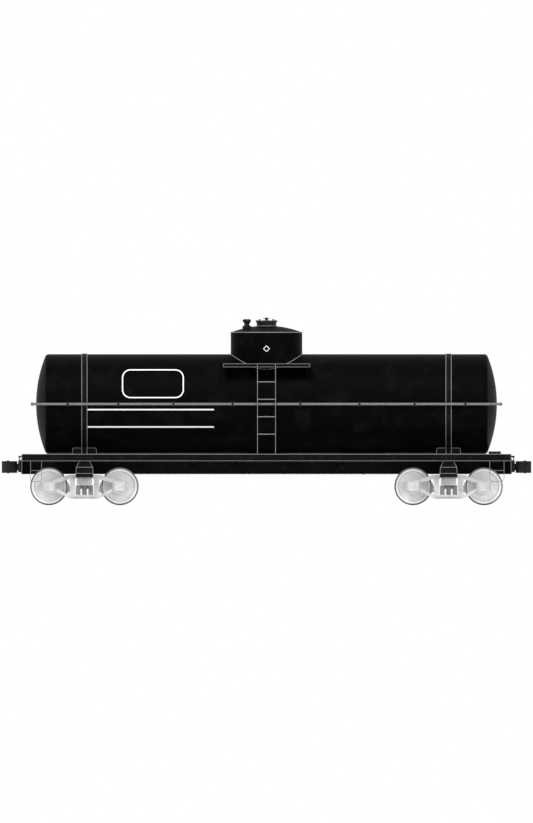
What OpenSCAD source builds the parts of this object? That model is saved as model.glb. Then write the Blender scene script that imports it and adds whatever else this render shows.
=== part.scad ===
// Railway tank car: a welded, single-dome car of about 44 cubic metres on two
// four-wheel trucks. +X is the brake end (end b), Z is up, and the origin lies
// midway along the car at the lowest point of the wheel flanges. Millimetres.

/* [Tank] */
// Outside diameter of the tank
tank_d = 2360; // [2000:10:2600]
// Length of the tank over its dished heads
tank_len = 10890; // [9600:10:12600]
// Gap between the running boards' top and the tank's underside
tank_gap = 3; // [1:1:60]
// Dish radius of the tank heads
head_dish_r = 3048; // [2600:1:3600]
// Knuckle radius of the tank heads
head_knuckle_r = 90; // [60:1:140]

/* [Dome] */
// Outside diameter of the dome
dome_d = 1690; // [1300:10:1800]
// Height of the dome's seam above the top of the tank
dome_h = 515; // [400:5:700]
// Rise of the dished dome head
dome_rise = 160; // [120:5:220]
// Plate thickness of the dome
dome_wall = 13; // [10:1:20]
// Outside diameter of the manway neck
manway_d = 463; // [420:1:560]
// Wall of the manway neck
manway_wall = 22; // [16:1:30]
// Height of the manway neck above the dome
manway_h = 98; // [80:1:160]
// Diameter of the manway cover
cover_d = 513; // [500:1:620]

/* [Underframe] */
// Distance from the tank's ends to the end sills
deck_overhang = 335; // [300:5:700]
// Distance from the end sills to the truck centres
truck_inset = 1477; // [1400:1:1900]
// Height of the running board's top
deck_z = 1206; // [1150:1:1230]
// Depth of the side channels
channel_depth = 152; // [120:1:180]
// How far the running boards reach beyond the tank's sides
walk_w = 242; // [230:2:340]
// How far the running boards reach in under the tank
board_lap = 58; // [20:2:120]
// Height of the centre sill's underside
sill_z = 734; // [710:1:760]
// Depth of the centre sill
sill_depth = 327; // [280:1:340]
// Height of the coupler's centre line
coupler_z = 902; // [880:1:930]
// Distance of the coupler's pulling face from the end sill
coupler_reach = 440; // [400:5:520]

/* [Fittings] */
// Outside diameter of the handrail pipe
rail_d = 60; // [42:1:70]
// Width of the tank bands
band_w = 127; // [80:1:160]
// Depth of the dome platforms below the top of the tank
platform_drop = 303; // [240:1:400]
// Length of the dome platforms
platform_len = 2045; // [1800:5:2400]
// Outside width of the ladders
ladder_w = 438; // [380:2:520]
// Thickness of the ladder's side bars
ladder_bar = 12; // [10:1:20]
// Width of the sill steps at end a
step_a_w = 274; // [240:2:360]
// Width of the sill steps at the brake end
step_b_w = 351; // [240:1:380]

/* [Trucks] */
// Diameter of the wheel tread
wheel_d = 838; // [800:2:850]
// Height of the wheel flange
flange_h = 25; // [22:1:28]
// Distance between the axles of a truck
wheelbase = 1676; // [1600:2:1900]
// Distance between the backs of a pair of wheels
back_to_back = 1353; // [1340:1:1365]
// Distance between the side frames' centre planes
frame_centres = 1956; // [1940:2:2000]
// Diameter of the axle journals
journal_d = 140; // [127:1:152]

/* [Hidden] */
$fn = 96;
seat = 0.3;            // gap where a piece rests on one that moves
run = 6;               // clearance round a moving piece
tank_fn = 240;         // segments of the tank and of what is cut to it

// Tank and heads
tank_r = tank_d / 2;
tank_z = deck_z + tank_gap + tank_r;
knuckle_c = tank_r - head_knuckle_r;
dish_c = sqrt(pow(head_dish_r - head_knuckle_r, 2) - pow(knuckle_c, 2));
head_depth = head_dish_r - dish_c;
barrel_len = 2 * round(tank_len / 2 - head_depth);
knuckle_angle = atan(knuckle_c / dish_c);

// Dome
dome_r = dome_d / 2;
seam_z = tank_z + tank_r + dome_h;
dish_r = (dome_r * dome_r + dome_rise * dome_rise) / (2 * dome_rise);
dome_top = seam_z + dome_rise;
neck_r = manway_d / 2;
neck_in = neck_r - manway_wall;
cover_z = dome_top + manway_h;
cover_t = 24;
hinge_y = cover_d / 2 + 26;
hinge_pin_r = 11;
valve_x = -0.55 * dome_r;
valve_y = -140;
valve_d = 208;

// Underframe
sill_len = tank_len + 2 * deck_overhang;
truck_centres = sill_len - 2 * truck_inset;
frame_k = truck_centres / 8606;   // places things along the car between the trucks
end_x = sill_len / 2;
bolster_x = truck_centres / 2;
car_y = tank_r + walk_w;
board_w = walk_w + board_lap;
channel_z = deck_z - channel_depth;
deck_t = 16;
end_t = 16;
end_flange = 76;
web = 13;
sill_in = 327 / 2;     // half the width between the centre sill's webs
sill_y = sill_in + web;
sill_foot = 90;
foot_t = 16;
sill_top = sill_z + sill_depth;
sill_end = end_x - end_t;
bolster_low = sill_z + foot_t;
plate_z = 680;         // height of the centre plate's underside
plate_r = 178;
bearing_y = 635;
pin_r = 22;

// Handrail, platforms and ladders
rail_r = rail_d / 2;
rail_y = tank_r + 65;
rail_x = tank_len / 2 + 88;
rail_bend = 300;
band_t = 12;
platform_z = tank_z + tank_r - platform_drop;
platform_t = 76;
ladder_y = rail_y + rail_r + 10;
ladder_depth = 60;

// Trucks
axle_z = wheel_d / 2 + flange_h;
wheel_r = wheel_d / 2;
axle_x = wheelbase / 2;
wheel_in = back_to_back / 2;
rim_w = 140;
hub_r = 140;
seat_r = 89;
frame_y = frame_centres / 2;
frame_t = 150;
journal_r = journal_d / 2;
box_in = frame_y - 128;
box_out = frame_y + 147;
dust_y = box_in + 36;  // where the journal starts
tip_y = box_out - 22;  // the axle's end
collar_w = 14;
collar_h = 5;
spring_seat_z = 236;
spring_top_z = 470;
truck_top_z = 640;

// ---------- shared shapes ----------

function arc(cx, cy, r, a0, a1, n) =
  [for (i = [0 : n]) [cx + r * cos(a0 + (a1 - a0) * i / n), cy + r * sin(a0 + (a1 - a0) * i / n)]];

// A box by its corners
module block(lo, hi) { translate(lo) cube(hi - lo); }

// Its children, and again mirrored across the car
module both_sides() {
  children();
  mirror([0, 1, 0]) children();
}

// Its children at end b, and again turned round to end a
module both_ends() {
  children();
  rotate([0, 0, 180]) children();
}

// A bar along X, Y or Z from one point
module rod_x(p, len, r) { translate(p) rotate([0, 90, 0]) cylinder(r = r, h = len); }
module rod_y(p, len, r) { translate(p) rotate([-90, 0, 0]) cylinder(r = r, h = len); }
module rod_z(p, len, r) { translate(p) cylinder(r = r, h = len); }

// A plate drawn in Y and Z, standing across the car at x
module across(x, t) { translate([x, 0, 0]) rotate([90, 0, 90]) linear_extrude(t) children(); }

// A plate drawn in X and Z, standing along the car with its inner face at y
module along(y, t) { translate([0, y + t, 0]) rotate([90, 0, 0]) linear_extrude(t) children(); }

// The space of the tank, which everything round it is cut to
module tank_space() { rod_x([-barrel_len / 2, 0, tank_z], barrel_len, tank_r, $fn = tank_fn); }

// The outside of the dome head, filled
module dome_head_space(inset) {
  top = dome_rise - inset;
  steps = 10;
  a = asin((dome_r - inset) / dish_r);
  translate([0, 0, seam_z])
    rotate_extrude($fn = tank_fn)
      polygon(concat([[0, 0]],
        [for (i = [0 : steps])
          let (t = a * (1 - i / steps))
          [i == steps ? 0 : dish_r * sin(t), top - dish_r * (1 - cos(t))]]));
}

// ---------- tank ----------

module tank_barrel() { color("#0a0a0a") tank_space(); }

module tank_head() {
  profile = concat([[0, 0]], arc(0, knuckle_c, head_knuckle_r, 90, knuckle_angle, 6),
    [for (i = [1 : 12])
      let (t = knuckle_angle * (1 - i / 12))
      [-dish_c + head_dish_r * cos(t), i == 12 ? 0 : head_dish_r * sin(t)]]);
  translate([barrel_len / 2, 0, tank_z])
    rotate([0, 90, 0])
      rotate_extrude($fn = tank_fn) polygon([for (p = profile) [p[1], p[0]]]);
}

module tank_heads() { color("#0a0a0a") both_ends() tank_head(); }

// A strap over the tank, with a foot fixed to each side of the saddle under it
module tank_band() {
  lap = 91 - asin((saddle_w + band_t / 2) / (tank_r + band_t / 2));
  translate([bolster_x - band_w / 2, 0, tank_z])
    rotate([0, 90, 0])
      rotate_extrude(angle = 180 + 2 * lap, start = 90 - lap, $fn = tank_fn)
        translate([tank_r, 0]) square([band_t, band_w]);
  both_sides()
    block([bolster_x - band_w / 2, saddle_w, deck_z],
      [bolster_x + band_w / 2, saddle_w + band_t, tank_z - sqrt(pow(tank_r, 2) - pow(saddle_w, 2)) - 2]);
}

module tank_bands() { color("#1a1a1a") both_ends() tank_band(); }

saddle_len = 580;
saddle_w = 620;
saddle_top = deck_z + 145;
saddle_corner = 24;

module tank_saddle() {
  half = saddle_len / 2;
  difference() {
    along(-saddle_w, 2 * saddle_w) translate([bolster_x, 0])
      polygon(concat([[-half, sill_top + 90]],
        arc(-half + 12 + saddle_corner, saddle_top - saddle_corner, saddle_corner, 180, 90, 5),
        arc(half - 12 - saddle_corner, saddle_top - saddle_corner, saddle_corner, 90, 0, 5),
        [[half, sill_top + 90]]));
    tank_space();
  }
}

module tank_saddles() { color("#0f0f0f") both_ends() tank_saddle(); }

// The anchor holds the tank to the centre sill at mid length
module tank_anchor() {
  color("#0f0f0f") difference() {
    across(-450, 900) polygon([[-sill_y, sill_top], [sill_y, sill_top], [sill_y + 60, deck_z + 60],
      [-sill_y - 60, deck_z + 60]]);
    tank_space();
  }
}

// ---------- dome ----------

module dome_ring() {
  color("#0a0a0a") difference() {
    rod_z([0, 0, tank_z + tank_r / 3], seam_z - tank_z - tank_r / 3, dome_r, $fn = tank_fn);
    rod_z([0, 0, tank_z], tank_r + dome_h + 1, dome_r - dome_wall, $fn = tank_fn);
    tank_space();
  }
}

module dome_head() {
  color("#0a0a0a") difference() {
    dome_head_space(0);
    translate([0, 0, -0.01]) dome_head_space(dome_wall);
    rod_z([0, 0, seam_z], dome_rise + 1, neck_r);
  }
}

module hinge_ears(x0, x1, y0, low) {
  for (x = [[x0, x1], [-x1, -x0]])
    translate([0, 0, cover_z])
      block([x[0], y0, -low], [x[1], hinge_y + 20, 14]);
}

module manway_neck() {
  color("#101010") difference() {
    union() {
      rod_z([0, 0, dome_top - 40], manway_h + 40, neck_r);
      rod_z([0, 0, cover_z - 26], 26, cover_d / 2 - 8);
      hinge_ears(32, 52, neck_r - 20, 26);
    }
    rod_z([0, 0, dome_top - 41], manway_h + 42, neck_in);
    block([-60, -cover_d / 2 - 10, cover_z], [60, cover_d / 2 + run + 1, cover_z + 30]);
  }
  color("#303030") rod_x([-58, hinge_y, cover_z + 2], 116, hinge_pin_r);
}

module lifting_eye(x) {
  translate([x, 0, cover_z + cover_t])
    rotate([90, 0, 0])
      translate([0, 0, -9]) difference() {
        cylinder(r = 32, h = 18);
        translate([0, 0, -1]) cylinder(r = 16, h = 20);
        translate([-40, -80, -1]) cube([80, 80, 20]);
      }
}

module manway_cover() {
  color("#101010") difference() {
    union() {
      rod_z([0, 0, cover_z + seat], cover_t - seat, cover_d / 2);
      translate([0, 0, cover_z]) block([-27, 0, seat], [27, hinge_y + 20, cover_t]);
      for (x = [-160, 160]) lifting_eye(x);
      rod_z([0, 0, cover_z + cover_t - 1], 40, 34);
      rod_z([0, 0, cover_z + cover_t + 30], 44, 17);
      rod_x([-72, 0, cover_z + cover_t + 50], 144, 9);
    }
    rod_x([-60, hinge_y, cover_z + 2], 120, hinge_pin_r + 0.1);
  }
}

module safety_valve() {
  reach = norm([valve_x, valve_y]) + valve_d / 2;
  base = round(dome_top - dish_r + sqrt(dish_r * dish_r - reach * reach) - 22);
  r = valve_d / 2;
  color("#101010") difference() {
    translate([valve_x, valve_y, base])
      rotate_extrude()
        polygon([[0, 0], [r, 0], [r, 78], [r - 20, 96], [r - 42, 104], [r - 42, 150], [r - 7, 196], [r - 7, 226],
          [r - 28, 251], [0, 251]]);
    dome_head_space(0);
  }
}

// A deck beside the dome, on three plates fixed to the tank
module dome_platform() {
  inner = round(sqrt(tank_r * tank_r - pow(tank_r - platform_drop + platform_t, 2))) + 106;
  difference() {
    union() {
      block([-platform_len / 2, inner, platform_z + platform_t - 8],
        [platform_len / 2, ladder_y, platform_z + platform_t]);
      block([-platform_len / 2, ladder_y - 8, platform_z], [platform_len / 2, ladder_y, platform_z + platform_t]);
      for (x = [-platform_len / 2, platform_len / 2 - 8])
        block([x, inner, platform_z], [x + 8, ladder_y, platform_z + platform_t]);
      for (x = [-platform_len / 2 + 60, -6, platform_len / 2 - 72])
        across(x, 12) polygon([[inner - 80, platform_z + platform_t - 4], [ladder_y - 4, platform_z + platform_t - 4],
          [ladder_y - 4, platform_z], [tank_r - 80, platform_z - 330], [tank_r - 200, platform_z - 330]]);
    }
    tank_space();
    rod_z([0, 0, platform_z - 400], 600, dome_r + 12);
  }
}

module dome_platforms() { color("#141414") both_sides() dome_platform(); }

rung_n = 5;
rung_r = 11;
rung_lift = 60;        // how much longer the lowest gap is than the rest
rung_gap = (platform_z - deck_z) / rung_n;

module ladder() {
  for (x = [-ladder_w / 2, ladder_w / 2 - ladder_bar])
    block([x, ladder_y, deck_z], [x + ladder_bar, ladder_y + ladder_depth, platform_z + platform_t]);
  for (i = [1 : rung_n - 1])
    rod_x([-ladder_w / 2 + ladder_bar / 2, ladder_y + ladder_depth / 2, deck_z + rung_lift + i * rung_gap],
      ladder_w - ladder_bar, rung_r);
}

module ladders() { color("#6e6e6e") both_sides() ladder(); }

// ---------- handrail ----------

// The straight lengths of the handrail, one on each side and one across each end
module rail_pipes() {
  both_sides() rod_x([-rail_x + rail_bend, rail_y, tank_z], 2 * (rail_x - rail_bend), rail_r);
  both_ends() rod_y([rail_x, -rail_y + rail_bend, tank_z], 2 * (rail_y - rail_bend), rail_r);
}

module handrail() {
  color("#6e6e6e") {
    rail_pipes();
    both_ends() both_sides() translate([rail_x - rail_bend, rail_y - rail_bend, tank_z])
      rotate_extrude(angle = 90) translate([rail_bend, 0]) circle(r = rail_r);
  }
}

bracket_xs = [-4700, -3500, -2200, -800, 800, 2200, 3500, 4700];

module handrail_brackets() {
  color("#141414") difference() {
    union() {
      both_sides() for (x = bracket_xs)
        translate([x * tank_len / 10890, 0, tank_z]) {
          rod_x([-22, rail_y, 0], 44, rail_r + 12);
          block([-12, tank_r - 20, -20], [12, rail_y - rail_r, 20]);
          block([-45, tank_r - 20, -60], [45, tank_r + 10, 60]);
        }
      both_ends() for (y = [-520, 520])
        translate([0, y, tank_z]) {
          rod_y([rail_x, -22, 0], 44, rail_r + 12);
          block([tank_len / 2 - 80, -12, -20], [rail_x - rail_r, 12, 20]);
        }
    }
    tank_space();
    both_ends() tank_head();
    rail_pipes();
  }
}

// ---------- underframe ----------

module sill_outline() {
  polygon([[-sill_y - sill_foot, sill_z], [-sill_in, sill_z], [-sill_in, sill_top - foot_t],
    [sill_in, sill_top - foot_t], [sill_in, sill_z], [sill_y + sill_foot, sill_z],
    [sill_y + sill_foot, bolster_low], [sill_y, bolster_low], [sill_y, sill_top],
    [-sill_y, sill_top], [-sill_y, bolster_low], [-sill_y - sill_foot, bolster_low]]);
}

module centre_sill() { color("#0a0a0a") across(-sill_end, 2 * sill_end) sill_outline(); }

// A channel with its web outside and its flanges turned in
module side_channel() {
  flange = 60;
  t = 10;
  across(-sill_end, 2 * sill_end)
    polygon([[car_y - flange, channel_z], [car_y, channel_z], [car_y, deck_z - deck_t],
      [car_y - flange, deck_z - deck_t], [car_y - flange, deck_z - deck_t - t], [car_y - t, deck_z - deck_t - t],
      [car_y - t, channel_z + t], [car_y - flange, channel_z + t]]);
}

module side_channels() { color("#0a0a0a") both_sides() side_channel(); }

module running_boards() {
  color("#101010") both_sides()
    block([-sill_end, car_y - board_w, deck_z - deck_t], [sill_end, car_y, deck_z]);
}

cross_xs = [for (x = [-3000, -1700, -650, 650, 1700, 3000]) x * frame_k];

// Pressed arms that carry the running boards from the centre sill
module board_brackets() {
  color("#0f0f0f") for (x = cross_xs)
    both_sides() across(x - 6, 12)
      polygon([[sill_y, sill_top - 190], [sill_y, sill_top - 10], [car_y - board_w, deck_z - deck_t],
        [car_y - 60, deck_z - deck_t], [car_y - 60, deck_z - deck_t - 90]]);
}

// A flanged plate, deep at the middle and shallow at the corners
module end_sill() {
  deep = 430;
  module plate() {
    polygon([[-car_y, deck_z], [car_y, deck_z], [car_y, channel_z], [deep + 160, channel_z - 40],
      [deep, sill_z], [-deep, sill_z], [-deep - 160, channel_z - 40], [-car_y, channel_z]]);
  }
  difference() {
    across(end_x - end_t, end_t) plate();
    block([end_x - end_t - 1, -shank_gap_y, shank_low], [end_x + 1, shank_gap_y, shank_high]);
  }
}

module end_sills() { color("#0a0a0a") both_ends() end_sill(); }

module end_platforms() {
  color("#101010") both_ends()
    block([end_x - end_t - 290, -car_y + board_w, deck_z - deck_t], [end_x - end_t, car_y - board_w, deck_z]);
}

// The raised step in front of the hand brake
module brake_platform() {
  color("#141414") block([tank_len / 2 - 198, -750, deck_z], [end_x - 240, 750, deck_z + 68]);
}

// A box beam each side of the centre sill, wide below and narrow above
module bolster_outline(inset) {
  polygon([[-202 + inset, bolster_low + inset], [202 - inset, bolster_low + inset],
    [193 - inset, channel_z - 158], [114 - inset, channel_z - inset / 2], [114 - inset, sill_top + 90 - inset],
    [-114 + inset, sill_top + 90 - inset], [-114 + inset, channel_z - inset / 2], [-193 + inset, channel_z - 158]]);
}

module body_bolster() {
  reach = car_y - 62;
  translate([bolster_x, 0, 0]) difference() {
    along(-reach, 2 * reach) bolster_outline(0);
    along(-reach + 14, 2 * reach - 28) bolster_outline(16);
    block([-300, -sill_y, sill_z - 10], [300, sill_y, sill_top]);
    both_sides() block([-300, saddle_w, deck_z - deck_t - 46], [300, car_y, sill_top + 200]);
  }
  // jacking pads, outside the trucks
  translate([bolster_x, 0, 0]) both_sides() along(reach - 180, 180)
    polygon([[-202, bolster_low], [-210, 658], [210, 658], [202, bolster_low]]);
}

module body_bolsters() { color("#0f0f0f") both_ends() body_bolster(); }

// The cast filler in the sill, its centre plate and the pin that the truck turns on
module centre_plates() {
  color("#141414") both_ends() translate([bolster_x, 0, 0]) {
    block([-200, -sill_in, sill_z], [200, sill_in, sill_top - foot_t]);
    rod_z([0, 0, plate_z + seat], sill_z - plate_z - seat, plate_r);
    rod_z([0, 0, plate_z - 170], 200, pin_r);
  }
}

module side_bearings() {
  color("#202020") both_ends() both_sides()
    block([bolster_x - 200, bearing_y - 50, plate_z + 14], [bolster_x + 200, bearing_y + 50, bolster_low]);
}

// ---------- couplers and ends ----------

shank_y = 65;
shank_z = 82;
shank_gap_y = shank_y + 35;
shank_low = coupler_z - shank_z;
shank_high = coupler_z + shank_z + 40;
head_z = 140;
knuckle_z = 112;
pull_x = end_x + coupler_reach;
hook_x = -112;         // the knuckle pin's place, from the pulling face
hook_y = 122;
hub_out = 52;

module striker() {
  lip = 90;
  difference() {
    union() {
      block([end_x, -210, sill_z + 20], [end_x + 22, 210, shank_high + 70]);
      block([end_x, -150, shank_low - 40], [end_x + lip, 150, shank_high + 30]);
    }
    block([end_x - 1, -shank_gap_y, shank_low], [end_x + lip + 1, shank_gap_y, shank_high]);
  }
}

module strikers() { color("#0f0f0f") both_ends() striker(); }

module coupler_head_outline() {
  polygon([[-330, -80], [-262, -150], [-130, -186], [0, -238], [36, -222], [20, -186], [-70, -120],
    [-104, -60], [-118, 0], [-122, 52], [hook_x + 12, hook_y - 40], [hook_x + 58, hook_y - 8],
    [hook_x + 58, hook_y + 26], [hook_x + 22, hook_y + 58], [hook_x - 40, hook_y + 56],
    [-262, 140], [-330, 80]]);
}

module coupler() {
  translate([pull_x, 0, coupler_z]) difference() {
    union() {
      translate([0, 0, -head_z]) linear_extrude(2 * head_z) coupler_head_outline();
      block([-coupler_reach - 620, -shank_y, -shank_z], [-320, shank_y, shank_z]);
      block([-coupler_reach - 1100, -120, -110], [-coupler_reach - 615, 120, 110]);
    }
    translate([hook_x, hook_y, -knuckle_z]) cylinder(r = hub_out + run, h = 2 * knuckle_z);
    block([hook_x - 14, hook_y - 70, -knuckle_z], [hook_x + 212, hook_y + 140, knuckle_z]);
    translate([hook_x, hook_y, -head_z - 1]) cylinder(r = 20, h = 2 * head_z + 2);
  }
}

module coupler_a() { color("#0f0f0f") rotate([0, 0, 180]) coupler(); }
module coupler_b() { color("#0f0f0f") coupler(); }

module knuckle() {
  h = knuckle_z - 4;
  translate([pull_x, 0, coupler_z]) {
    difference() {
      translate([0, 0, -h]) linear_extrude(2 * h) union() {
        translate([hook_x, hook_y]) circle(r = hub_out - 2);
        polygon([[hook_x - 10, hook_y + 48], [-30, hook_y + 50], [-6, hook_y + 38], [0, hook_y + 16], [0, 8],
          [-14, -14], [-40, -24], [-66, -14], [-74, 10], [-72, 40], [-84, 70], [hook_x + 8, hook_y - 48]]);
      }
    }
    translate([hook_x, hook_y, -head_z - 14]) cylinder(r = 19.9, h = 2 * head_z + 28);
    translate([hook_x, hook_y, head_z + 0.5]) cylinder(r = 30, h = 14);
  }
}

module knuckle_a() { color("#1c1c1c") rotate([0, 0, 180]) knuckle(); }
module knuckle_b() { color("#1c1c1c") knuckle(); }

module uncoupling_levers() {
  r = 11;
  x = end_x + 62;
  z = deck_z - 60;
  y0 = -car_y + 242;
  color("#2a2a2a") both_ends() {
    rod_y([x, y0, z], -20 - y0, r);
    rod_z([x, y0, z - 190], 190 + r, r);
    rod_y([x, y0 - r, z - 190], 40, r);
    for (y = [y0 + 60, -420])
      difference() {
        block([end_x, y - 10, z - 22], [x + 22, y + 10, z + 22]);
        rod_y([x, y - 11, z], 22, r);
      }
  }
}

// The outline of a stirrup, with its lower corners rounded
function stirrup(x0, w, low, r, top) =
  concat([[x0, top]], arc(x0 + r, low + r, r, 180, 270, 5), arc(x0 + w - r, low + r, r, 270, 360, 5), [[x0 + w, top]]);

// A two-tread stirrup under each corner
module sill_step(step_w, r) {
  t = 12;
  low = 550;
  mid = 813;
  x0 = end_x - 335 - step_w / 2;
  along(car_y - 56, 50) {
    difference() {
      polygon(stirrup(x0, step_w, low, r, channel_z));
      polygon(stirrup(x0 + t, step_w - 2 * t, low + t, r - t, channel_z + 1));
    }
    translate([x0 + t / 2, mid]) square([step_w - t, t]);
  }
}

module sill_steps() {
  color("#6e6e6e") {
    both_sides() sill_step(step_b_w, 95);
    rotate([0, 0, 180]) both_sides() sill_step(step_a_w, 48);
  }
}

module grab_iron(y0, len, z) {
  r = 10;
  out = 64;
  rod_y([end_x + out, y0, z], len, r);
  for (y = [y0, y0 + len]) {
    rod_x([end_x, y, z], out, r);
    translate([end_x + out, y, z]) sphere(r = r);
  }
}

module grab_irons() {
  color("#6e6e6e") both_ends() {
    grab_iron(520, 420, deck_z - 70);
    grab_iron(-car_y + 422, 420, deck_z - 150);
  }
}

// ---------- brakes ----------

gear_z = 850;          // height of the brake cylinder's centre line
cylinder_x = cross_xs[1] + 200;
valve_gear_x = cross_xs[2] + 310;
reservoir_x = cross_xs[4] + 80;
rod_r = 14;
lever_z = gear_z + 24; // underside of the brake levers

// A drum along the car, hung from the centre sill
module hung_drum(x0, len, y, z, r) {
  rod_x([x0, y, z], len, r);
  for (x = [x0 + len * 0.2, x0 + len * 0.8 - 40])
    block([x, sill_y, z + 46], [x + 40, y - 20, z + 70]);
}

module air_reservoir() { color("#0f0f0f") hung_drum(reservoir_x, 1000, 560, 880, 145); }

module brake_cylinder() {
  color("#0f0f0f") translate([cylinder_x, 0, 0]) {
    hung_drum(0, 420, 520, gear_z, 110);
    rod_x([-30, 520, gear_z], 30, 116);
    rod_x([-260, 520, gear_z], 240, 24);
  }
}

module brake_valve() {
  color("#101010") translate([valve_gear_x, 0, 0]) {
    block([-80, sill_y, 900], [-50, 560, 1000]);
    block([-200, 380, 820], [-80, 600, 980]);
    block([-50, 400, 840], [60, 560, 960]);
    rod_x([-300, 490, 900], 100, 62);
  }
}

// Levers and pull rods between the cylinder and the trucks, and the guides under the rods
module brake_rods() {
  z = lever_z - rod_r;
  x0 = cylinder_x - 235;
  x1 = cross_xs[4] - 200;
  far = 3300 * frame_k;
  color("#1c1c1c") {
    block([x0 - 25, 200, lever_z], [x0 + 25, 640, lever_z + 16]);
    rod_x([-far, 330, z], far + x0, rod_r);
    rod_x([x0, 225, z], x1 - x0, rod_r);
    block([x1 - 25, sill_y, lever_z], [x1 + 25, 400, lever_z + 16]);
    rod_x([x1, 330, z], far - x1, rod_r);
    for (x = [-2600 * frame_k, 2900 * frame_k]) block([x - 15, sill_y, z - rod_r - 10], [x + 15, 350, z - rod_r]);
  }
}

outlet_x = 330;
outlet_y = 375;
outlet_r = 57.15;      // a 4 inch pipe of 114.3 mm

module bottom_outlet() {
  color("#1c1c1c") translate([outlet_x, outlet_y, 0]) difference() {
    union() {
      rod_z([0, 0, 752], 600, outlet_r);
      rod_z([0, 0, deck_z - 20], 160, 120);
      rod_z([0, 0, 900], 150, 84);
      rod_z([0, 0, 1040], 24, 105);
      rod_y([0, -10, 975], 150, 22);
    }
    rod_z([0, 0, 751], 120, outlet_r - 6);
    translate([-outlet_x, -outlet_y, 0]) tank_space();
  }
}

module heater_pipes() {
  color("#1c1c1c") difference() {
    union() for (x = [-180, 60]) {
      rod_z([x, 330, 800], 560, 30);
      rod_z([x, 330, 790], 60, 42);
      rod_z([x, 330, deck_z - 20], 150, 62);
    }
    tank_space();
  }
}

// ---------- trucks ----------

module frame_outline() {
  tip = axle_x + 162;
  difference() {
    polygon([[-tip, 330], [-tip, 556], [70 - tip, 592], [300 - tip, 612], [-400, 704], [-300, 716], [300, 716],
      [400, 704], [tip - 300, 612], [tip - 70, 592], [tip, 556], [tip, 330], [tip - 310, 330], [330, 150],
      [-330, 150], [310 - tip, 330]]);
    // opening for the bolster and its springs
    polygon([[-226, spring_seat_z], [226, spring_seat_z], [226, 600], [190, 656], [-190, 656], [-226, 600]]);
    for (s = [-1, 1]) polygon([[s * 350, 612], [s * 350, 262], [s * 390, 246], [s * (tip - 340), 404], [s * (tip - 340), 530]]);
  }
}

module side_frame() {
  difference() {
    union() {
      along(frame_y - frame_t / 2, frame_t) frame_outline();
      for (x = [-axle_x, axle_x])
        block([x - 142, box_in, axle_z - 150], [x + 142, box_out, axle_z + 130]);
      block([-300, frame_y - 110, spring_seat_z - 40], [300, frame_y + 110, spring_seat_z]);
    }
    for (x = [-axle_x, axle_x]) {
      rod_y([x, box_in - 1, axle_z], 42, seat_r + run);
      rod_y([x, box_in, axle_z], tip_y - box_in, journal_r + seat);
      rod_y([x, tip_y - collar_w - run, axle_z], collar_w + 2 * run, journal_r + collar_h + run);
    }
  }
}

// The truck's solids are drawn round its own centre, at end b
module at_truck(a) {
  rotate([0, 0, a ? 180 : 0]) translate([bolster_x, 0, 0]) children();
}

module truck_side_frames(a) { color("#101010") at_truck(a) both_sides() side_frame(); }

module truck_bolster(a) {
  reach = frame_y + 92;
  color("#141414") at_truck(a) difference() {
    union() {
      across(-180, 360) polygon([[-reach, spring_top_z], [-reach, truck_top_z], [-700, truck_top_z],
        [-400, plate_z - 20], [400, plate_z - 20], [700, truck_top_z], [reach, truck_top_z], [reach, spring_top_z],
        [frame_y - 160, spring_top_z], [260, 385], [-260, 385], [-frame_y + 160, spring_top_z]]);
      rod_z([0, 0, plate_z - 40], 65, plate_r + 32);
      both_sides() block([-120, bearing_y - 45, truck_top_z - 10], [120, bearing_y + 45, plate_z + 8]);
    }
    rod_z([0, 0, plate_z], 30, plate_r + run);
    rod_z([0, 0, 300], 500, pin_r + 3);
    for (y = [-330, 330]) translate([0, y, 0]) rod_x([-200, 0, 540], 400, 62);
  }
}

spring_xs = [-150, 0, 150];

module truck_springs(a) {
  color("#262626") at_truck(a) both_sides() {
    for (x = spring_xs)
      rod_z([x, frame_y + (x == 0 ? 0 : 36), spring_seat_z], spring_top_z - spring_seat_z, x == 0 ? 62 : 62);
  }
}

// A beam with a shoe at each wheel, its ends in the side frames
module brake_beam() {
  gap = 6;
  shoe = 44;
  z = axle_z - 60;
  x0 = axle_x - 548;
  block([x0, -frame_y + frame_t / 2, z - 22], [x0 + 28, frame_y - frame_t / 2, z + 22]);
  for (y = [-wheel_in - 96, wheel_in + 96])
    difference() {
      intersection() {
        union() {
          block([x0 + 15, y - 30, z - 80], [axle_x, y + 30, z + 80]);
          block([x0 + 15, y - 38, z - 150], [axle_x, y + 38, z + 150]);
        }
        union() {
          rod_y([axle_x, y - 40, axle_z], 80, wheel_r + gap + shoe);
          block([x0 + 15, y - 40, z - 80], [x0 + 110, y + 40, z + 80]);
        }
      }
      rod_y([axle_x, y - 41, axle_z], 82, wheel_r + gap);
    }
}

module truck_brake_beams(a) {
  color("#1c1c1c") at_truck(a) for (m = [0, 1]) mirror([m, 0, 0]) brake_beam();
}

module truck_box_lids(a) {
  color("#1c1c1c") at_truck(a) both_sides() for (x = [-axle_x, axle_x])
    translate([x, box_out, axle_z]) {
      across(-112, 224) polygon([[0, -120], [30, -110], [14, 96], [0, 104]]);
      rod_x([-60, 14, 100], 120, 13);
    }
}

// Tread with its taper, flange, dished plate and hub, from the inner face out
module wheel_profile() {
  f = wheel_r + flange_h;
  polygon([[seat_r, -18], [hub_r, -18], [hub_r + 14, 20], [hub_r + 40, 38], [wheel_r - 96, 62], [wheel_r - 66, 30],
    [wheel_r - 62, 0], [f - 22, 0], [f - 6, 6], [f, 16], [f - 6, 26], [wheel_r + 3, 44], [wheel_r, 56],
    [wheel_r - 3, rim_w - 8], [wheel_r - 10, rim_w], [wheel_r - 62, rim_w], [wheel_r - 66, 108],
    [wheel_r - 96, 88], [hub_r + 40, 64], [hub_r + 8, 84], [hub_r, 152], [seat_r, 152]]);
}

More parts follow.
